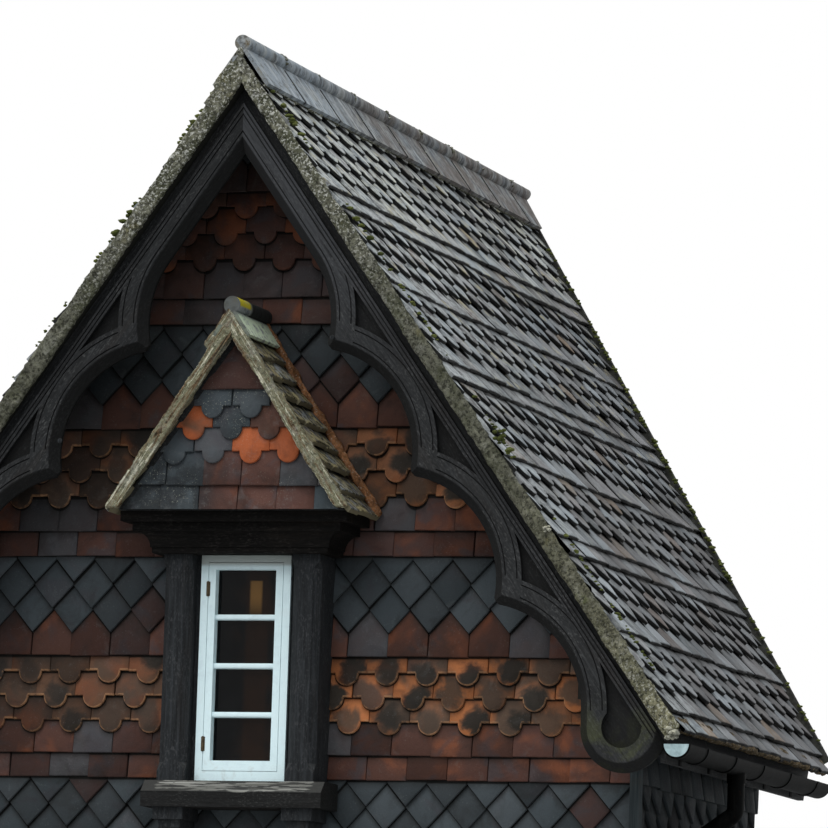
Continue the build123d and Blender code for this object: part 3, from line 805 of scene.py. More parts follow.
def wall_colour(c):
    """Clubs left the kiln with soft dark hearts and orange haloes, strongest low on the right."""
    n = c.n
    colour, club, hot = hung_clay(c)
    lot = c.part(7.3)
    aside = n.less(c.across, n.times(n.less(lot, 0.5), 0.050))
    above = n.less(c.up, n.plus(0.030, n.times(c.part(17.7), 0.055)))
    ring = n.math("POWER", n.times(aside, 1 / 0.062), 2.0)
    ring = n.math("SQRT", n.plus(ring, n.math("POWER", n.times(above, 1 / 0.066), 2.0)))
    ring = n.plus(ring, n.times(n.less(c.blotch, 0.5), 2.6))
    side = n.times(n.along("Z", 1.60, 1.30), n.along("X", -0.30, 0.50, -0.16, 0.66))
    halo = n.times(hot, n.step(ring, 0.55, 1.15), n.plus(side, 0.30))
    colour = n.mix(halo, colour, (0.420, 0.150, 0.056))
    heart = n.times(n.step(ring, 0.45, 1.15, 1.0, 0.0), club, n.step(lot, 0.25, 0.70, 0.0, 0.90))
    colour = n.mix(heart, colour, (0.022, 0.021, 0.018))
    colour = n.mix(n.along("Z", 1.98, 2.20, 0.0, 0.06), colour, (0.034, 0.029, 0.025))
    dull = n.times(club, n.along("X", -0.30, -0.55, 0.0, 0.38))
    colour = n.mix(dull, colour, (0.034, 0.025, 0.021))
    # Painted highlight: a pale, patchy rim along the tail edges of each club's tongue and shoulders
    worn = n.times(c.tongue, club, n.patch(0.38, 0.60, c.where, 35.0, 4.0, 0.6))
    return n.wash(colour, worn, 0.65, (0.360, 0.190, 0.095))


def gable_colour(c):
    """The hood's gable: the hottest clubs are orange all over."""
    colour, club, hot = hung_clay(c)
    return c.n.wash(colour, hot, 0.88, (0.440, 0.112, 0.040))


def slope_colour(c):
    """Weathered roof tiles: blue grey, some brown."""
    return c.n.ramp(c.hue, [(0.0, (0.170, 0.196, 0.216)), (0.22, (0.188, 0.202, 0.212)),
                            (0.42, (0.145, 0.138, 0.140)), (0.60, (0.112, 0.092, 0.082)),
                            (0.90, (0.150, 0.110, 0.074))])


def unaged(c, colour):
    return colour


def gable_age(c, colour):
    """Soot low on the left of the hood's gable, and pale specks, most on its grey tiles."""
    n = c.n
    low = n.times(n.along("Z", 1.66, 1.58), n.along("X", 0.0, -0.16))
    burnt = n.times(low, n.patch(0.34, 0.56, c.own, 12.0, 5.0, 0.6))
    colour = n.wash(colour, burnt, 0.75, (0.024, 0.026, 0.028))
    specks = n.times(n.patch(0.60, 0.66, c.where, 150.0, 4.0, 0.7),
                     n.patch(0.44, 0.62, c.where, 6.0, 3.0, 0.5))
    return n.wash(colour, specks, n.step(c.warm, 0.30, 0.44, 0.85, 0.25), (0.36, 0.37, 0.31))


def slope_age(c, colour):
    """Paler and bluer up by the ridge and the verge, from lichen and a painted sheen that grows towards the
    ridge; browner down the middle.
    """
    n = c.n
    y, z = n.place("Y"), n.place("Z")
    patch = n.patch(0.34, 0.58, c.where, 2.6, 4.0, 0.6, 0.3)
    low = n.times(n.step(z, 3.0, 1.2), n.step(y, -0.30, 0.7), patch)
    colour = n.wash(colour, low, 0.60, (0.103, 0.098, 0.098))
    high = n.step(z, 0.9, 3.0)
    near = n.most(n.step(y, 0.40, -0.42), n.times(high, n.step(y, 2.2, 0.2)))
    # Pale lichen by the verge and up by the ridge, partly a painted sheen, laid on more strongly higher up
    chalk = n.times(near, n.patch(0.40, 0.60, c.own, 24.0, 6.0, 0.72))
    colour = n.wash(colour, chalk, n.plus(0.38, n.times(high, 0.40)), (0.50, 0.53, 0.52))
    sere = n.times(high, n.patch(0.58, 0.68, c.own, 11.0, 4.0, 0.6))
    colour = n.wash(colour, sere, 0.55, (0.420, 0.360, 0.170))
    # Pale runs high up: lichen, and partly a painted sheen
    run = n.step(n.drawn(c.where, (2.0, 26.0, 2.0), 5.0, 0.6, 0.5), 0.48, 0.62)
    colour = n.wash(colour, n.times(n.step(z, 2.45, 3.0), run), 0.75, (0.600, 0.600, 0.520))
    stain = n.patch(0.56, 0.70, c.where, 3.4, 6.0, 0.65, 0.8)
    return n.wash(colour, stain, 0.55, (0.040, 0.042, 0.038))


def hood_age(c, colour):
    """The hood's slopes: rust-brown crust and black patches."""
    n = c.n
    rust = n.patch(0.44, 0.56, c.own, 15.0, 6.0, 0.70)
    colour = n.wash(colour, rust, 0.80, (0.340, 0.290, 0.140))
    dark = n.patch(0.48, 0.56, c.where, 34.0, 6.0, 0.70)
    return n.wash(colour, dark, 0.85, (0.020, 0.020, 0.015))


def clay(name, colour_of, light, crust, moss, early=unaged, late=unaged, rim=None, rough=0.66,
         specular=0.10):
    """A tile finish whose tone runs between two shades of light, aged before and after it grew over."""
    def made(n):
        c = Clay(n)
        colour = colour_of(c)
        grey = n.add("ShaderNodeCombineColor")
        shade = n.step(c.tone, 0.0, 1.0, light[0], light[1])
        for socket in grey.inputs:
            n.link(shade, socket)
        colour = n.mix(1.0, colour, grey.outputs[0], "MULTIPLY")
        colour = n.wash(colour, c.soot, 0.40, (0.020, 0.020, 0.019))
        colour = n.mix(n.times(c.grain, 0.30), colour, (0.19, 0.17, 0.15), "MULTIPLY")
        colour = early(c, colour)
        crusted, yellow, mossy = n.use(GROWTH, c.where, crust)
        colour = n.wash(colour, crusted, 0.06 + crust * 0.45, (0.27, 0.285, 0.28))
        colour = n.wash(colour, yellow, crust * 0.30, (0.26, 0.22, 0.07))
        colour = n.wash(colour, mossy, moss, (0.050, 0.056, 0.018))
        colour = late(c, colour)
        # Painted shade under the tails of the course above: a broad fade, then a dark line right at the tails
        colour = n.wash(colour, c.fade, 0.45, (0.012, 0.012, 0.010))
        colour = n.wash(colour, c.line, 0.92, (0.004, 0.004, 0.0035))
        # Edges and tails of each tile take the rim colour; on the main roof it is near black, painted shade
        # on faces that look down
        if rim:
            colour = n.wash(colour, n.attribute("rim"), 0.97, rim)
        return {"colour": colour, "rough": n.step(c.blotch, 0.3, 0.7, rough, 0.85),
                "normal": n.bump(n.plus(n.times(c.grain, 0.35), c.pits), 0.0012, 0.8)}

    return finish(name, made, specular=specular)


wall_clay = clay("hung_clay_tile", wall_colour, (0.76, 1.50), 0.05, 0.05, specular=0.12)
# Painted shade: the wall tiles' finish at 0.4 of their brightness, for the side walls in shadow
side_clay = clay("shaded_side_tile", wall_colour, (0.304, 0.60), 0.02, 0.10, specular=0.06)
# rim: painted shade on the roof tiles' edges and tails
roof_clay = clay("weathered_roof_tile", slope_colour, (0.55, 1.50), 0.30, 0.22, late=slope_age,
                 rim=(0.005, 0.005, 0.0045), rough=0.55)
gable_clay = clay("hood_tile", gable_colour, (1.064, 2.10), 0.14, 0.06, early=gable_age)
hood_clay = clay("hood_roof_tile", slope_colour, (0.605, 1.65), 0.80, 0.45, late=hood_age,
                 rim=(0.170, 0.150, 0.095), rough=0.55, specular=0.06)


# Mortar
def drawn_mortar(turn):
    """Colours drawn out along the hood's verge, which is turned by so much."""
    def coat(n, where, colour):
        run = n.drawn(n.mapped(where, turn=(0, turn, 0)), (4.0, 80.0, 80.0), 6.0, 0.70, 0.4)
        hues = n.ramp(run, [(0.34, (0.022, 0.016, 0.010)), (0.43, (0.160, 0.095, 0.048)),
                            (0.49, (0.270, 0.260, 0.175)), (0.54, (0.110, 0.115, 0.060)),
                            (0.61, (0.720, 0.685, 0.530))])
        return n.mix(0.90, colour, hues), 120.0, (0.7, 0.56, 0.66), 0.10

    return coat


def verge_coat(n, where, colour):
    """The main verge: paler at both ends, speckled at the top and olive in patches."""
    up = n.place("Z")
    gain = n.ramp(n.times(up, 1 / 3.3), [(0.16, (1.8, 1.75, 1.45)), (0.30, (1.20, 1.19, 1.05)),
                                         (0.50, (1.10, 1.12, 1.10)), (0.70, (1.20, 1.22, 1.20)),
                                         (0.90, (1.70, 1.72, 1.65))])
    colour = n.mix(1.0, colour, gain, "MULTIPLY")
    olive = n.times(n.patch(0.46, 0.58, where, 8.0, 5.0, 0.65), n.step(up, 1.0, 2.6, 0.35, 0.85))
    colour = n.wash(colour, olive, 0.8, (0.066, 0.070, 0.040))
    amount = n.plus(n.step(up, 2.0, 2.8, 0.06, 0.80), n.step(up, 1.1, 0.6, 0.0, 0.35))
    return colour, 100.0, (0.66, 0.53, 0.60), amount


def mortar(name, tint, pale, moss, coat=None, holes=0.75, specular=0.04):
    """Old lime mortar, pitted and crusted."""
    def made(n):
        where = n.here()
        lumps, grain, holed = n.use(GRIT, where)
        shades = ((0.32, 0.35), (0.47, 1.0), (0.60, 1.7), (0.76, 3.2))
        colour = n.ramp(lumps, [(place, tuple(c * gain for c in tint)) for place, gain in shades])
        size, (rough, low, high), amount = 120.0, (0.7, 0.56, 0.66), 0.30 + pale * 0.7
        if coat:
            colour, size, (rough, low, high), amount = coat(n, where, colour)
        dots = n.patch(low, high, where, size, 4.0, rough)
        crust, yellow, mossy = n.use(GROWTH, where, pale)
        colour = n.wash(colour, dots, amount, (0.66, 0.66, 0.60))
        colour = n.wash(colour, crust, 0.25 + pale * 0.5, (0.34, 0.34, 0.30))
        colour = n.wash(colour, yellow, 0.45, (0.27, 0.225, 0.075))
        colour = n.wash(colour, mossy, moss, (0.060, 0.078, 0.018))
        colour = n.wash(colour, holed, holes, (0.012, 0.012, 0.009))
        height = n.plus(n.times(lumps, 2.0), n.times(grain, 0.5))
        return {"colour": colour, "normal": n.bump(height, 0.004, 0.9)}

    return finish(name, made, rough=0.95, specular=specular)


verge_mortar = mortar("verge_mortar", (0.088, 0.086, 0.066), 0.15, 0.60, verge_coat)
hood_mortar = {slope.side: mortar("hood_verge_mortar_" + slope.side, (0.150, 0.142, 0.100), 0.30, 0.35,
                                  drawn_mortar(-slope.sign * HOOD_PITCH), holes=0.45)
               for slope in hood_slopes}
orange_mortar = mortar("abutment_mortar", (0.190, 0.088, 0.040), 0.0, 0.10, holes=0.35)
lichen_crust = mortar("pale_lichen_crust", (0.420, 0.400, 0.270), 0.9, 0.10)
eaves_dirt = mortar("mossy_eaves_bedding", (0.085, 0.062, 0.036), 0.05, 0.95, specular=0.03)


# Timber
def old_timber(n, turn, base=(0.0205, 0.0215, 0.0225), worn=(0.085, 0.087, 0.086), brown=0.25,
               algae=0.0, bleached=False):
    """Black paint worn to the grain, with painted light on faces that look up; turn lays the grain along the
    piece, algae grow on bargeboards, whose sunk pockets get painted shade.
    """
    where = n.here()
    grain, broad, fibres = n.use(GRAIN, n.mapped(where, turn=turn))
    patches = n.noise(where, 7.0, 6.0, 0.65, 0.5)
    colour = n.ramp(grain, [(0.30, tuple(c * 0.45 for c in base)), (0.52, base),
                            (0.70, tuple(c * 1.8 for c in base))])
    pale = n.times(n.step(patches, 0.40, 0.66, 0.25, 1.0), n.step(fibres, 0.50, 0.64))
    colour = n.wash(colour, pale, 0.75, worn)
    colour = n.wash(colour, n.step(broad, 0.50, 0.72), brown, (0.030, 0.024, 0.020))
    # Painted highlight: faces that look up are paler
    colour = n.wash(colour, n.step(n.facing("Z"), 0.25, 0.85), 0.45, (0.085, 0.086, 0.080))
    if bleached:
        upper = n.times(n.along("Z", 1.9, 2.6), n.step(grain, 0.30, 0.55, 0.15, 0.55))
        colour = n.mix(upper, colour, (0.074, 0.077, 0.083))
    if algae:
        green = n.times(n.along("Z", 0.74, 0.52), n.step(patches, 0.42, 0.58))
        colour = n.wash(colour, green, algae, (0.060, 0.066, 0.030))
        # Painted shade: everything set back more than a few millimetres behind the bargeboard's front, its
        # sunk pockets, goes nearly black
        sunk = n.along("Y", BARGE_FACE + 0.0005, BARGE_FACE + 0.004)
        colour = n.wash(colour, sunk, 0.72, (0.0060, 0.0060, 0.0058))
    height = n.plus(n.times(grain, 0.8), n.plus(n.step(grain, 0.26, 0.38), n.times(fibres, 0.5)))
    return {"colour": colour, "normal": n.bump(height, 0.0016, 0.75),
            "rough": n.step(grain, 0.3, 0.7, 0.6, 0.85)}


def timber(name, specular, turn, *colours, **marks):
    return finish(name, lambda n: old_timber(n, turn, *colours, **marks), specular=specular)


QUARTER = math.radians(90)
UP_RIGHT, UP_LEFT = (0, QUARTER - PITCH, 0), (0, PITCH - QUARTER, 0)
barge_right = timber("barge_timber_right", 0.08, UP_RIGHT, (0.0245, 0.0255, 0.0265), (0.098, 0.099, 0.098),
                     algae=0.60, bleached=True)
barge_left = timber("barge_timber_left", 0.08, UP_LEFT, algae=0.75)
fillet_right = timber("barge_fillet_timber_right", 0.06, UP_RIGHT)
fillet_left = timber("barge_fillet_timber_left", 0.06, UP_LEFT)
upright_timber = timber("upright_dark_timber", 0.06, (0, 0, 0), (0.0215, 0.0235, 0.0255),
                        (0.066, 0.068, 0.070))
# Painted shade: the cornice's timber is made far darker than the uprights', for the shade under the hood
level_timber = timber("level_dark_timber", 0.04, (0, QUARTER, 0), (0.0060, 0.0056, 0.0053),
                      (0.040, 0.036, 0.033), brown=0.45)
deep_timber = timber("fascia_dark_timber", 0.08, (QUARTER, 0, 0))


def sill_timber(n):
    """Paint flaked off to bare silver wood on the sloping top."""
    made = old_timber(n, (0, QUARTER, 0), (0.0105, 0.0108, 0.0108), (0.050, 0.050, 0.048), brown=0.2)
    where = n.here()
    flakes = n.drawn(where, (7.0, 38.0, 90.0), 5.0, 0.6, 0.15)
    inward = n.step(n.off(n.place("X")), 0.30, 0.37, 0.07, -0.30)
    top = n.plus(n.along("Z", 0.318, 0.345, -0.25, 0.03), inward)
    wood = n.ramp(n.drawn(where, (3.0, 160.0, 160.0), 5.0, 0.6),
                  [(0.3, (0.06, 0.06, 0.052)), (0.52, (0.16, 0.16, 0.145)), (0.72, (0.42, 0.42, 0.39))])
    made["colour"] = n.mix(n.step(n.plus(flakes, top), 0.56, 0.60), made["colour"], wood)
    return made


flaked_timber = finish("flaked_sill_timber", sill_timber, specular=0.1)


def sawn(n):
    """Bare softwood inside, grey where the weather reaches it."""
    where, x, y, z = n.here(), n.place("X"), n.place("Y"), n.place("Z")
    grain = n.drawn(where, (40.0, 6.0, 40.0), 6.0, 0.6, 0.3)
    saw = n.drawn(where, (8.0, 220.0, 8.0), 2.0, 0.5)
    colour = n.ramp(grain, [(0.3, (0.085, 0.058, 0.038)), (0.55, (0.150, 0.108, 0.070)),
                            (0.8, (0.21, 0.155, 0.105))])
    colour = n.wash(colour, n.patch(0.45, 0.7, where, 5.0, 5.0, 0.6), 0.4, (0.075, 0.068, 0.058))
    eaves = n.step(n.off(x), 1.585, 1.615)
    behind = n.less(n.times(y, MAIN_SIN), n.times(z, MAIN_COS))
    main_roof = FOOT_BACK * MAIN_SIN
    cut_end = n.step(behind, main_roof - 0.060, main_roof - 0.040)
    weathered = n.most(n.step(y, -0.02, -0.09), n.most(eaves, cut_end))
    colour = n.mix(weathered, colour, (0.014, 0.014, 0.012))
    return {"colour": colour, "normal": n.bump(n.plus(grain, n.times(saw, 0.4)), 0.001)}


def valley(n):
    """Weathered board along the cut against the main roof, green with moss."""
    where = n.here()
    grain = n.drawn(where, (60.0, 6.0, 60.0), 6.0, 0.6, 0.3)
    colour = n.ramp(grain, [(0.3, (0.016, 0.016, 0.014)), (0.6, (0.036, 0.036, 0.032)),
                            (0.8, (0.06, 0.06, 0.053))])
    yellow, mossy = n.use(GROWTH, where, 0.4)[1:]
    colour = n.wash(colour, n.most(mossy, yellow), 0.8, (0.085, 0.10, 0.03))
    return {"colour": colour, "normal": n.bump(grain, 0.001)}


sawn_timber = finish("sawn_softwood", sawn, rough=0.85, specular=0.1)
valley_timber = finish("mossy_valley_board", valley, rough=0.9, specular=0.05)


# Plaster, paint, iron, brass and glass
def plaster(n):
    where = n.here()
    trowel = n.noise(where, 4.0, 6.0, 0.6, 0.7)
    sand = n.noise(where, 350.0, 3.0, 0.6)
    colour = n.ramp(trowel, [(0.3, (0.42, 0.37, 0.30)), (0.6, (0.56, 0.51, 0.43)), (0.8, (0.62, 0.58, 0.50))])
    colour = n.wash(colour, n.patch(0.52, 0.68, where, 2.2, 5.0, 0.65, 0.5), 0.35, (0.33, 0.28, 0.22))
    return {"colour": colour, "normal": n.bump(n.plus(trowel, n.times(sand, 0.1)), 0.004)}


def gloss_white(n):
    """White gloss with a cold cast, dirty at its foot, with painted shade just under the cornice."""
    where = n.here()
    brush = n.drawn(where, (160.0, 160.0, 6.0), 3.0, 0.5)
    dirt = n.noise(where, 16.0, 6.0, 0.7, 0.4)
    colour = n.ramp(dirt, [(0.30, (0.66, 0.81, 0.85)), (0.50, (0.73, 0.90, 0.93)),
                           (0.75, (0.76, 0.92, 0.95))])
    foot = n.plus(0.05, n.times(n.along("Z", 0.52, 0.38), 0.28))
    grime = n.times(n.step(dirt, 0.50, 0.68), foot)
    # Painted shade: the top of the white woodwork, right under the cornice, is darkened
    under = n.times(n.along("Z", 1.222, 1.240), 0.70)
    colour = n.mix(n.most(grime, under), colour, (0.29, 0.29, 0.25))
    return {"colour": colour, "normal": n.bump(brush, 0.0003, 0.5),
            "rough": n.step(dirt, 0.3, 0.7, 0.32, 0.55)}


def corner_coat(n):
    where = n.here()
    streak = n.drawn(where, (120.0, 120.0, 3.0), 5.0, 0.6)
    colour = n.ramp(streak, [(0.3, (0.014, 0.018, 0.020)), (0.55, (0.032, 0.040, 0.043)),
                             (0.75, (0.060, 0.070, 0.074))])
    colour = n.wash(colour, n.patch(0.50, 0.70, where, 12.0, 5.0, 0.65), 0.6, (0.035, 0.037, 0.034))
    return {"colour": colour, "normal": n.bump(streak, 0.0008)}


def iron_coat(n, shades, rust_amount):
    where = n.here()
    chalk = n.noise(where, 22.0, 6.0, 0.65, 0.4)
    colour = n.ramp(chalk, list(zip((0.3, 0.55, 0.75), shades)))
    rust = n.patch(0.60, 0.70, where, 60.0, 5.0, 0.7)
    colour = n.wash(colour, rust, rust_amount, (0.040, 0.020, 0.011))
    drip = n.step(n.drawn(where, (60.0, 60.0, 4.0), 4.0, 0.6), 0.52, 0.72)
    colour = n.wash(colour, drip, 0.45, (0.010, 0.010, 0.009))
    return {"colour": colour, "normal": n.bump(n.plus(chalk, n.times(rust, 0.4)), 0.001)}


def brass(n):
    stain = n.noise(n.here(), 120.0, 4.0, 0.6)
    colour = n.ramp(stain, [(0.3, (0.035, 0.028, 0.020)), (0.7, (0.120, 0.088, 0.045))])
    return {"colour": colour, "normal": n.bump(stain, 0.0004)}


def pane(n):
    """Old dark glass with brown patches of painted reflection and a dim room painted behind it: a brown post
    and a batten that catches the light, a painted highlight.
    """
    where, x, z = n.here(), n.place("X"), n.place("Z")
    colour = n.ramp(n.noise(where, 9.0, 6.0, 0.6, 0.4),
                    [(0.3, (0.002, 0.0024, 0.0028)), (0.7, (0.006, 0.0065, 0.007))])
    # Painted reflection: warm brown patches on the panes
    warm = n.times(n.patch(0.46, 0.66, where, 7.0, 2.0, 0.5, 0.3), n.step(x, -0.10, 0.03))
    colour = n.wash(colour, warm, 0.6, (0.018, 0.009, 0.005))
    colour = n.wash(colour, n.step(n.off(x, 0.040), 0.058, 0.034), 0.6, (0.019, 0.009, 0.005))
    batten = n.times(n.step(n.off(x, 0.032), 0.030, 0.018), n.step(z, 1.00, 1.12), n.step(z, 1.176, 1.170))
    colour = n.mix(batten, colour, (0.170, 0.090, 0.028))
    return {"colour": colour, "normal": n.bump(n.noise(where, 3.2, 2.0, 0.5, 0.4), 0.004, 0.25)}


lime_plaster = finish("lime_plaster", plaster, rough=0.93, specular=0.15)
white_paint = finish("white_window_paint", gloss_white, specular=0.3)
corner_paint = finish("grey_blue_corner_paint", corner_coat, rough=0.7, specular=0.06)
iron_paint = finish("dark_iron_paint", lambda n: iron_coat(n, [
    (0.0008, 0.0009, 0.0009), (0.0022, 0.0024, 0.0024), (0.010, 0.011, 0.011)], 0.4), specular=0.03)
pale_iron = finish("pale_stop_end_paint", lambda n: iron_coat(n, [
    (0.22, 0.29, 0.31), (0.36, 0.48, 0.50), (0.46, 0.58, 0.60)], 0.15), rough=0.5, specular=0.12)
old_brass = finish("dull_brass", brass, specular=0.2, Metallic=0.2)
old_glass = finish("old_window_glass", pane, rough=0.04, specular=0.15, IOR=1.3, Transmission_Weight=0.25)


# Ridge tiles, moss and floor
def ridge_clay(n, crust_amount, yellow_amount):
    where, y = n.here(), n.place("Y")
    streak = n.drawn(where, (3.5, 30.0, 3.5), 6.0, 0.66, 0.5)
    colour = n.ramp(streak, [(0.32, (0.032, 0.034, 0.036)), (0.45, (0.120, 0.132, 0.142)),
                             (0.54, (0.200, 0.220, 0.232)), (0.64, (0.420, 0.435, 0.430))])
    front = n.times(n.step(n.facing("Y"), -0.6, -0.9), n.patch(0.40, 0.56, where, 28.0, 5.0, 0.7))
    colour = n.mix(front, colour, (0.110, 0.078, 0.030))
    cold = n.times(n.step(y, 0.75, 0.25), n.patch(0.36, 0.54, where, 9.0, 5.0, 0.6))
    colour = n.wash(colour, cold, 0.55, (0.330, 0.380, 0.420))
    aged = n.times(n.step(y, 0.40, 1.3), n.patch(0.32, 0.58, where, 7.0, 5.0, 0.6))
    colour = n.wash(colour, aged, 0.85, (0.100, 0.080, 0.068))
    crust, yellow, mossy = n.use(GROWTH, where, crust_amount)
    colour = n.wash(colour, crust, 0.55, (0.30, 0.31, 0.30))
    colour = n.wash(colour, yellow, yellow_amount, (0.38, 0.30, 0.06))
    colour = n.wash(colour, mossy, 0.35, (0.06, 0.07, 0.03))
    dark = n.patch(0.50, 0.64, where, 26.0, 6.0, 0.7)
    colour = n.wash(colour, dark, 0.60, (0.030, 0.031, 0.030))
    grain = n.noise(where, 200.0, 3.0, 0.6)
    return {"colour": colour, "normal": n.bump(n.plus(streak, n.times(grain, 0.3)), 0.002)}


def hood_ridge_clay(n):
    """The hood's roll: pale wings, yellow lichen on its crown, grey in front, black at the wall."""
    made = ridge_clay(n, 0.7, 0.9)
    colour, y, z = made["colour"], n.place("Y"), n.place("Z")
    blot = n.noise(n.here(), 30.0, 6.0, 0.7)
    wing = n.times(n.step(z, HOOD_APEX + 0.004, HOOD_APEX - 0.020), n.step(blot, 0.36, 0.50))
    colour = n.mix(wing, colour, (0.64, 0.74, 0.54))
    crown = n.times(n.step(z, HOOD_APEX + 0.016, HOOD_APEX + 0.026),
                    n.step(y, HOOD_Y + 0.002, HOOD_Y + 0.006), n.step(y, -0.34, -0.38))
    colour = n.wash(colour, crown, n.step(blot, 0.34, 0.46), (0.52, 0.44, 0.03))
    colour = n.wash(colour, n.step(y, HOOD_Y + 0.004, HOOD_Y + 0.001), 0.80, (0.075, 0.080, 0.075))
    ends = n.times(n.step(y, -0.385, -0.335), n.step(z, HOOD_APEX - 0.01, HOOD_APEX))
    made["colour"] = n.wash(colour, ends, 0.94, (0.010, 0.010, 0.009))
    return made


def moss(n):
    tuft = n.noise(n.here(), 160.0, 5.0, 0.7)
    patch = n.noise(n.here(), 6.0, 3.0, 0.5)
    colour = n.ramp(n.plus(n.times(tuft, 0.6), n.times(patch, 0.4)),
                    [(0.3, (0.028, 0.032, 0.012)), (0.5, (0.085, 0.100, 0.028)),
                     (0.7, (0.210, 0.215, 0.070))])
    return {"colour": colour, "normal": n.bump(tuft, 0.004)}


def pale_floor(n):
    cloud = n.noise(n.here(), 1.5, 4.0)
    return {"colour": n.ramp(cloud, [(0.3, (0.50, 0.50, 0.49)), (0.7, (0.56, 0.56, 0.55))])}


ridge_tile = finish("ridge_tile", lambda n: ridge_clay(n, 0.35, 0.15), rough=0.75, specular=0.15)
lichen_ridge = finish("lichened_hood_ridge", hood_ridge_clay, rough=0.85, specular=0.08)
green_moss = finish("moss", moss, rough=0.95, specular=0.1)
floor_finish = finish("pale_floor", pale_floor, rough=0.9, specular=0.1)


# Tile hanging and roof tiles
front = trim_front(*front_tiles())
roof_fields = [slope_tiles(slope, seed) for slope, seed in zip(roof_slopes, (31, 32))]
side_fields = [side_tiles(side, sign, seed) for side, sign, seed in (("right", 1, 41), ("left", -1, 42))]
wear(paint(front, wall_clay), "wall_tile", "front_tile_hanging")
for side, field in zip(("right", "left"), side_fields):
    wear(paint(field, side_clay), "wall_tile", "side_tile_hanging_" + side)
for side, field in zip(("right", "left"), roof_fields):
    wear(paint(field, roof_clay), "roof_tile", "roof_tiling_" + side)


# Rough mortar: a fine skin over a plain form, pushed in and out
def roughen(obj, voxel, waves, seed):
    """waves holds pairs of wavelength and height."""
    remesh = obj.modifiers.new("skin", "REMESH")
    remesh.mode = "VOXEL"
    remesh.voxel_size = voxel
    apply_all(obj)
    mesh = obj.data
    offset = Vector((seed * 3.1, seed * 1.7, seed * 0.9))
    normals = [Vector(v.normal) for v in mesh.vertices]
    for vertex, normal in zip(mesh.vertices, normals):
        push = 0.0
        for length, height in waves:
            push += noise.noise(vertex.co / length + offset) * height
        vertex.co += normal * push
    mesh.update()
    return smooth(obj, 60)


# Right and left verges differ a little: the band's depth and how far it leans in
VERGE_BANDS = {"right": ((0.015, 0.075), math.radians(0.42)), "left": ((0.006, 0.075), math.radians(0.50))}


def roof_verge(slope, seed):
    """A band over the tile ends and a core under them; heaped up by the ridge on the left."""
    name = "verge_mortar_band_" + slope.side
    depth, turn = VERGE_BANDS[slope.side]
    bars = [slope.bar(name, (VERGE_Y, VERGE_Y + 0.022), depth, (-EAVES_S + 0.012, 0.01), turn),
            slope.bar("core", (VERGE_Y + 0.005, VERGE_Y + 0.045), (0.029, 0.070), (-EAVES_S + 0.020, -0.15))]
    if slope.side == "left":
        for top, run in ((-0.016, (-0.185, 0.02)), (-0.002, (-0.260, 0.0))):
            bars.append(slope.bar("heap", (VERGE_Y - 0.003, VERGE_Y + 0.020), (top, 0.074), run))
    bar = slope.halve(join(bars, name), -0.006)
    roughen(bar, 0.0075, ((0.16, 0.004), (0.05, 0.0030), (0.016, 0.0035)), seed)
    return paint(bar, verge_mortar)


def eaves_bedding(slope, seed):
    """Dirt and moss under the tiles along the eaves."""
    back = FOOT_BACK + (RIDGE_Z - EAVES_S * SIN) / MAIN_TAN - 0.02
    bed = slope.bar("eaves_bedding_" + slope.side, (VERGE_Y + 0.03, back), (0.024, 0.052),
                    (-EAVES_S - 0.001, -EAVES_S + 0.06))
    roughen(bed, 0.0075, ((0.11, 0.006), (0.035, 0.006), (0.014, 0.003)), seed)
    return paint(bed, eaves_dirt)


for slope, seed in zip(roof_slopes, (3, 4)):
    wear(roof_verge(slope, seed), "mortar", "verge_mortar_" + slope.side)
    wear(eaves_bedding(slope, seed + 20), "mortar")

# Hood gable: rows of kind, tail height, first middle, step and fired colours, from the bottom
GABLE_ROWS = [("plain", 1.424, -0.369, 0.159, [0.16, 0.12, 0.50, 0.52, 0.50, 0.04]),
              ("plain", 1.525, -0.349, 0.157, [0.12, 0.12, 0.50, 0.52, 0.28, 0.3]),
              ("club", 1.610, -0.236, 0.156, [0.16, 0.26, 0.98, 0.92]),
              ("club", 1.703, -0.163, 0.155, [0.99, 0.06, 0.62]),
              ("club", 1.789, -0.086, 0.155, [0.14, 0.22])]


def under_hood_slopes(obj, depth):
    """Cuts a gable piece off so deep under both of the hood's slopes."""
    for slope in hood_slopes:
        cut(obj, (0, 0, HOOD_APEX - depth / HOOD_COS), slope.out)
    return obj


def hood_gable_tiles():
    field = Field(51)
    r = random.Random(8)
    for kind, z, first, step, tones in GABLE_ROWS:
        for k, warm in enumerate(tones):
            place = Matrix.Translation((first + k * step, GABLE_FACE, z))
            tone = r.random() * 0.25 + (0.15 if warm > 0.9 else 0.4)
            field.lay(kind, place, tone, warm, width=step / PITCH_W)
    field.lay("plain", Matrix.Translation((-0.007, GABLE_FACE - 0.002, 1.902)), 0.25, 0.47, width=1.75)
    obj = under_hood_slopes(field.build("hood_gable_tiles"), 0.052)
    cut(obj, (0, 0, CORNICE_Z1 + 0.001), (0, 0, -1))
    return smooth(obj)


wear(paint(hood_gable_tiles(), gable_clay), "wall_tile", "hood_gable")
board_front, board_back = GABLE_FACE + 0.035, GABLE_FACE + 0.055
gable_board = box("hood_gable_board", (-HOOD_HALF, board_front, CORNICE_Z1),
                  (HOOD_HALF, board_back, HOOD_APEX))
wear(paint(under_hood_slopes(gable_board, 0.058), deep_timber), "roof_timber")


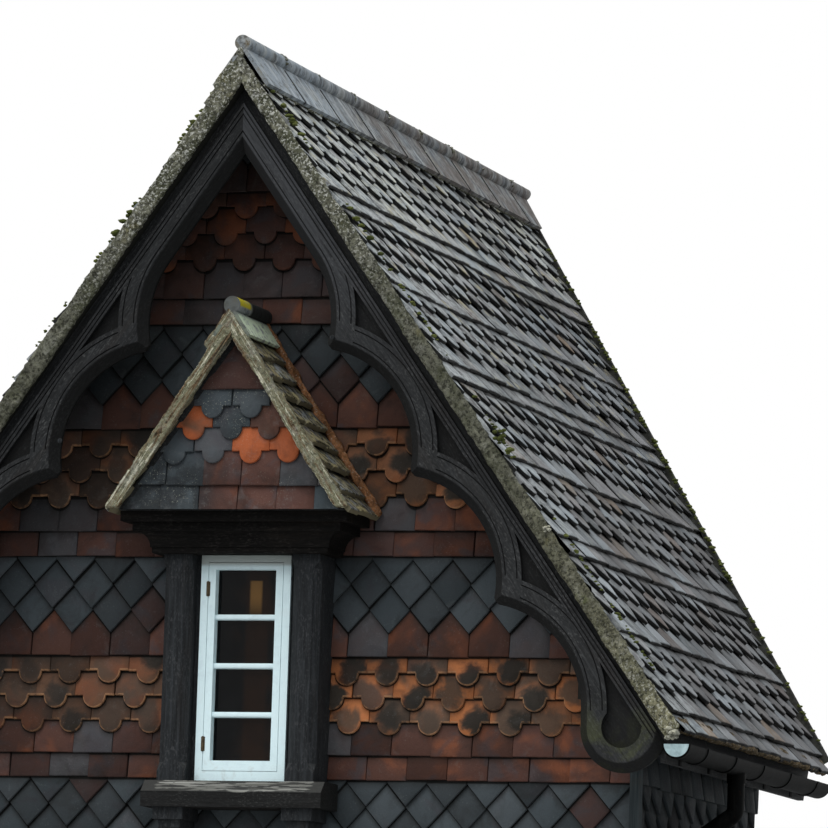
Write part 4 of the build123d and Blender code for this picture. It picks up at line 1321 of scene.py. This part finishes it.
# Hood roof
def hood_tiles(slope, seed):
    """Thick, uneven tiles in courses."""
    gauge = 0.104
    field = Field(seed, thick=1.8, lean=12.0, wander=3.0, length=0.134)
    r = random.Random(seed)
    for k in range(0, 9):
        s = HOOD_RUN - 0.004 - gauge * k
        for j in range(-1, 4):
            along = slope.sign * (-0.44 + (j + 0.5 * (k % 2)) * PITCH_W)
            place = slope.tile_place(along, 0, s - r.gauss(0, 0.009))
            field.lay("plain", place, r.random(), 0.1 + 0.6 * r.random(), lift=0.010 * r.random(),
                      over="plain", gauge=gauge)
    obj = field.build("hood_tiles_" + slope.side)
    cut(obj, (0, HOOD_Y + 0.020, 0), (0, -1, 0))
    cut(obj, (0, WALL_FACE, 0), (0, 1, 0))
    slope.halve(obj, 0.003)
    cut(obj, (0, 0, HOOD_APEX - 0.046 / HOOD_COS), [-part for part in slope.out])
    return paint(smooth(obj), hood_clay)


def hood_boards(slope):
    boards = slope.bar("hood_tiles_%s_boards" % slope.side, (HOOD_Y + 0.06, WALL_FACE), (0.040, 0.062),
                       (-HOOD_RUN, 0.0))
    slope.halve(boards, 0)
    cut(boards, (0, 0, CORNICE_Z1), (0, 0, -1))
    return paint(boards, deep_timber)


def hood_verge(slope, seed):
    """Mortar along the hood's verge, heaped over the tile ends up at the apex on the left."""
    name = "hood_verge_band_" + slope.side
    bar = slope.bar(name, (HOOD_Y, HOOD_Y + 0.030), (0.002, 0.052), (-HOOD_RUN + 0.012, 0.0))
    if slope.side == "left":
        heap = slope.bar("heap", (HOOD_Y - 0.002, HOOD_Y + 0.040), (-0.021, 0.052), (-0.172, 0.0))
        bar = join([bar, heap], name)
    slope.halve(bar, 0)
    cut(bar, (0, 0, CORNICE_Z1 + 0.004), (0, 0, -1))
    roughen(bar, 0.0050, ((0.14, 0.007), (0.045, 0.0040), (0.014, 0.0035)), seed)
    return paint(bar, hood_mortar[slope.side])


def hood_abutment(slope, seed):
    """Fillet of mortar between the hood and the wall."""
    fillet = slope.bar("hood_abutment_" + slope.side, (WALL_FACE - 0.020, WALL_FACE + 0.002),
                       (-0.020, 0.012), (-HOOD_RUN + 0.01, 0.035))
    roughen(fillet, 0.0060, ((0.09, 0.009), (0.03, 0.005)), seed)
    return paint(fillet, orange_mortar)


for slope, seed in zip(hood_slopes, (61, 62)):
    wear(hood_tiles(slope, seed), "roof_tile", "hood_roof_" + slope.side)
    wear(hood_boards(slope), "roof_timber")
    wear(hood_verge(slope, seed), "mortar", "hood_verge_" + slope.side)
    wear(hood_abutment(slope, seed + 5), "mortar", "hood_mortar_" + slope.side)

# Window and bargeboards: glazing bars, hinges and pegs
BAR_HALF, BAR_FRONT, BAR_BACK = 0.1255, -0.2120, -0.1810
BAR_HEIGHTS = (0.643, 0.835, 1.027)
HINGE_X, PIN_Y, LEAF_FRONT, LEAF_BACK = -0.155, -0.2235, -0.2212, -0.2196
HINGE_HEIGHTS = (0.527, 1.138)
PEG_PLACES = ((-0.716, 1.700), (0.400, 2.100))


def glazing_bar(name, z):
    """Flat bar with two chamfers in front."""
    bar = box(name, (-BAR_HALF, BAR_FRONT, z - 0.011), (BAR_HALF, BAR_BACK, z + 0.011))
    edit(bar)
    pick(bar, "EDGE", lambda m, e: m.y < BAR_FRONT + 0.0005 and abs(m.x) < 0.01)
    bpy.ops.mesh.bevel(offset=0.0065, segments=3, affect="EDGES")
    return paint(smooth(done(bar), 40), white_paint)


def hinge(name, z):
    pin = rod("hinge_pin", 0.0040, (HINGE_X, PIN_Y, z - 0.030), (HINGE_X, PIN_Y, z + 0.030), 12)
    leaf = box("hinge_leaf", (HINGE_X - 0.008, LEAF_FRONT, z - 0.028),
               (HINGE_X + 0.008, LEAF_BACK, z + 0.028))
    return paint(soften(join([pin, leaf], name), 0.0006, 1), old_brass)


def peg(name, x, z):
    """Round head of a peg on a bargeboard."""
    pin = rod(name, 0.010, (x, BARGE_FACE, z), (x, BARGE_FACE - 0.0075, z), 12)
    return paint(soften(pin, 0.0025, 2), upright_timber)


for k, z in enumerate(BAR_HEIGHTS):
    wear(glazing_bar("glazing_bar_%d" % (k + 1), z), "white_paint")
for k, z in enumerate(HINGE_HEIGHTS):
    wear(hinge("hinge_%d" % (k + 1), z), "iron")
for k, (x, z) in enumerate(PEG_PLACES):
    wear(peg("peg_%d" % (k + 1), x, z), "dark_timber")


# Small things repeated by the hundred: one lump, copied with its own size and turn
def lumps(name, places, material, seed):
    """places holds the middle, size and flatness of each lump."""
    r = random.Random(seed)
    bpy.ops.mesh.primitive_ico_sphere_add(subdivisions=1, radius=1.0)
    base = bpy.context.object
    verts, faces = [], []
    for where, size, flat in places:
        start = len(verts)
        turn = Matrix.Rotation(r.random() * 6.28, 3, "Z")
        squash = Matrix.Diagonal((size * r.uniform(0.8, 1.4), size * r.uniform(0.8, 1.4), size * flat))
        for vertex in base.data.vertices:
            verts.append(Vector(where) + turn @ squash @ (vertex.co * r.uniform(0.75, 1.15)))
        for face in base.data.polygons:
            faces.append([start + i for i in face.vertices])
    bpy.data.objects.remove(base)
    obj = linked(bpy.data.objects.new(name, from_lists(name, verts, faces)))
    return paint(smooth(obj, 80), material)


def on_slope(sign, s, out, y, up):
    """A place s down from the ridge, moved out and up from the slope's plane."""
    return sign * (s * COS + out), y, RIDGE_Z - s * SIN + up


def moss_places():
    """Tufts along the cut against the main roof and along the verge."""
    r = random.Random(77)
    places = []
    for sign in (1, -1):
        for k in range(150):
            s = r.uniform(0.25, 3.1)
            if r.random() < 0.35:
                s = r.uniform(0.9, 2.3)
            y = FOOT_BACK + (RIDGE_Z - s * SIN) / MAIN_TAN - 0.045 - abs(r.gauss(0, 0.02))
            places.append((on_slope(sign, s, 0.004, y, 0.002), r.uniform(0.005, 0.014), 0.6))
        for k in range(110):
            s = r.choice((0.35, 0.9, 1.3, 1.85, 2.5, 2.85)) + r.gauss(0, 0.10)
            y = VERGE_Y + 0.030 + abs(r.gauss(0, 0.012))
            size = r.uniform(0.004, 0.011) * (1.7 if s < 1.1 else 1.0)
            places.append((on_slope(sign, s, 0.003, y, 0.003), size, 0.6))
    return places


def cluster(middle, spread, count, size, seed):
    """Places for one growth: lumps scattered round a middle."""
    r = random.Random(seed)
    return [(tuple(middle[i] + r.gauss(0, spread[i]) for i in range(3)), size * r.uniform(0.6, 1.3), 0.8)
            for k in range(count)]


# Growths that stand out on the right verge: a pale crust at its foot, one blob and two tufts
VERGE_CRUST = (cluster((1.818, -0.472, 0.560), (0.008, 0.006, 0.011), 26, 0.012, 11)
               + cluster((1.302, VERGE_Y - 0.001, 1.345), (0.006, 0.002, 0.007), 8, 0.008, 12))
VERGE_TUFTS = (cluster((1.104, VERGE_Y + 0.012, 1.700), (0.012, 0.006, 0.014), 14, 0.011, 14)
               + cluster((1.140, VERGE_Y + 0.008, 1.650), (0.008, 0.006, 0.012), 10, 0.010, 15))
wear(lumps("moss_tufts", moss_places(), green_moss, 5), "mortar")
wear(lumps("verge_lichen_crust", VERGE_CRUST, lichen_crust, 13), "mortar")
wear(lumps("verge_moss_tufts", VERGE_TUFTS, green_moss, 16), "mortar")

# Pale painted stop end on the right gutter
GUTTER_X, GUTTER_Z, GUTTER_END = 1.839, 0.525, -0.4745
stop_end = rod("gutter_stop_disc", 0.0490, (GUTTER_X, GUTTER_END, GUTTER_Z),
               (GUTTER_X, GUTTER_END + 0.004, GUTTER_Z), 40)
cut(stop_end, (0, 0, GUTTER_Z), (0, 0, 1))
wear(paint(smooth(stop_end, 40), pale_iron), "iron")

# Where one ridge tile meets the next
RIDGE_JOINTS = [VERGE_Y + RIDGE_TILE_L * k - 0.002 for k in range(1, 9)]


def ridge_joint_places():
    """Lumps of mortar over the roll and down both wings at each joint."""
    r = random.Random(78)
    places = []
    for y in RIDGE_JOINTS:
        for j in range(14):
            a = math.radians(r.uniform(-20, 200))
            x, z = RIDGE_ROLL_R * math.cos(a), RIDGE_ROLL_R * math.sin(a)
            places.append(((x, y + r.gauss(0, 0.006), RIDGE_ROLL_Z + z), r.uniform(0.004, 0.011), 0.8))
        for sign in (1, -1):
            for j in range(9):
                s = r.uniform(0.02, 0.18)
                places.append((on_slope(sign, s, 0.011, y + r.gauss(0, 0.003), 0.0065),
                               r.uniform(0.003, 0.008), 0.8))
    return places


def ridge_joint_lines(slope):
    """Dark gaps across the wings of the ridge tiles."""
    lines = [slope.bar("joint", (y - 0.0055, y + 0.0055), (-0.0185, -0.0060), (-0.1835, -0.022))
             for y in RIDGE_JOINTS]
    return paint(join(lines, "ridge_joint_lines_" + slope.side), deep_timber)


def ridge_bedding(slope):
    back = FOOT_BACK + RIDGE_Z / MAIN_TAN - 0.15
    bed = slope.bar("ridge_bedding_" + slope.side, (VERGE_Y + 0.01, back), (-0.003, 0.014), (-0.181, -0.163))
    roughen(bed, 0.009, ((0.07, 0.008), (0.025, 0.005)), 9)
    return paint(bed, verge_mortar)


wear(lumps("ridge_joint_mortar", ridge_joint_places(), verge_mortar, 6), "mortar")
for slope in roof_slopes:
    wear(ridge_joint_lines(slope), "mortar")
    wear(ridge_bedding(slope), "mortar")

# The CAD nodes that show keep their own meshes
dressing = {
    "front_wall": lime_plaster, "ridge_tiles": ridge_tile, "hood_ridge_tile": lichen_ridge,
    "bargeboard_right": barge_right, "bargeboard_left": barge_left,
    "barge_fillet_right": fillet_right, "barge_fillet_left": fillet_left,
    "window_sill": flaked_timber, "hood_cornice": level_timber, "window_lining": upright_timber,
    "window_frame": white_paint, "window_sash": white_paint, "window_glass": old_glass,
}
PAIRS = {"side_wall": lime_plaster, "verge_soffit": deep_timber, "eaves_fascia": deep_timber,
         "post": upright_timber, "sill_bracket": upright_timber, "gutter": iron_paint,
         "gutter_straps": iron_paint, "downpipe": iron_paint, "corner_board": corner_paint,
         "valley_board": valley_timber}
for kind, material in PAIRS.items():
    for side in ("_right", "_left"):
        dressing[kind + side] = material
for name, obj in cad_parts.items():
    paint(obj, dressing.get(name, sawn_timber))
for obj in tile_kinds.values():
    bpy.data.objects.remove(obj)

# Floor, light and camera
floor = box("floor", (-5.0, -2.3, -0.02), (5.0, 6.0, -0.0005))
paint(floor, floor_finish)


def sky():
    """Overcast light, brighter above; white where it is seen or mirrored."""
    world = bpy.data.worlds.new("overcast")
    bpy.context.scene.world = world
    world.use_nodes = True
    world.node_tree.nodes.clear()
    n = Nodes(world.node_tree)
    out = n.add("ShaderNodeOutputWorld")
    seen = n.add("ShaderNodeBackground")
    n.set(seen, Color=(1, 1, 1, 1))
    light = n.add("ShaderNodeBackground")
    up = n.split(n.add("ShaderNodeTexCoord").outputs["Generated"])[2]
    cloud = n.ramp(n.plus(n.times(up, 0.5), 0.5), [(0.40, (0.05, 0.05, 0.05)), (0.52, (0.46, 0.49, 0.52)),
                                                   (0.90, (1.10, 1.14, 1.18))])
    n.link(cloud, light.inputs["Color"])
    n.set(light, Strength=1.15)
    path = n.add("ShaderNodeLightPath")
    shown = n.most(path.outputs["Is Camera Ray"], path.outputs["Is Glossy Ray"])
    shown = n.most(shown, path.outputs["Is Transmission Ray"])
    blend = n.add("ShaderNodeMixShader")
    for socket, value in zip(blend.inputs, (shown, light.outputs[0], seen.outputs[0])):
        n.link(value, socket)
    n.link(blend.outputs[0], out.inputs["Surface"])


def sun_lamp(name, energy, angle, direction, colour):
    data = bpy.data.lights.new(name, "SUN")
    data.energy = energy
    data.angle = math.radians(angle)
    data.color = colour
    obj = linked(bpy.data.objects.new(name, data))
    obj.rotation_mode = "QUATERNION"
    obj.rotation_quaternion = Vector((0, 0, -1)).rotation_difference(Vector(direction).normalized())


def camera(place, right, up, ahead, lens):
    """A far camera with a long lens, set by the directions of its own axes."""
    data = bpy.data.cameras.new("camera")
    data.lens = lens
    data.sensor_width = 36.0
    data.clip_end = 200.0
    obj = linked(bpy.data.objects.new("camera", data))
    matrix = Matrix.Identity(4)
    for row in range(3):
        matrix[row][0], matrix[row][1] = right[row], up[row]
        matrix[row][2], matrix[row][3] = -ahead[row], place[row]
    obj.matrix_world = matrix
    bpy.context.scene.camera = obj


sky()
sun_lamp("soft_sky_lamp", 1.5, 50, (0.45, 0.65, -1.0), (1.0, 0.98, 0.95))
camera((8.513, -24.79, -1.272), (0.9533, 0.3003, 0.0315), (0.0060, -0.1232, 0.9924),
       (-0.3019, 0.9459, 0.1193), 288.8)
bpy.context.scene.view_settings.view_transform = "Standard"
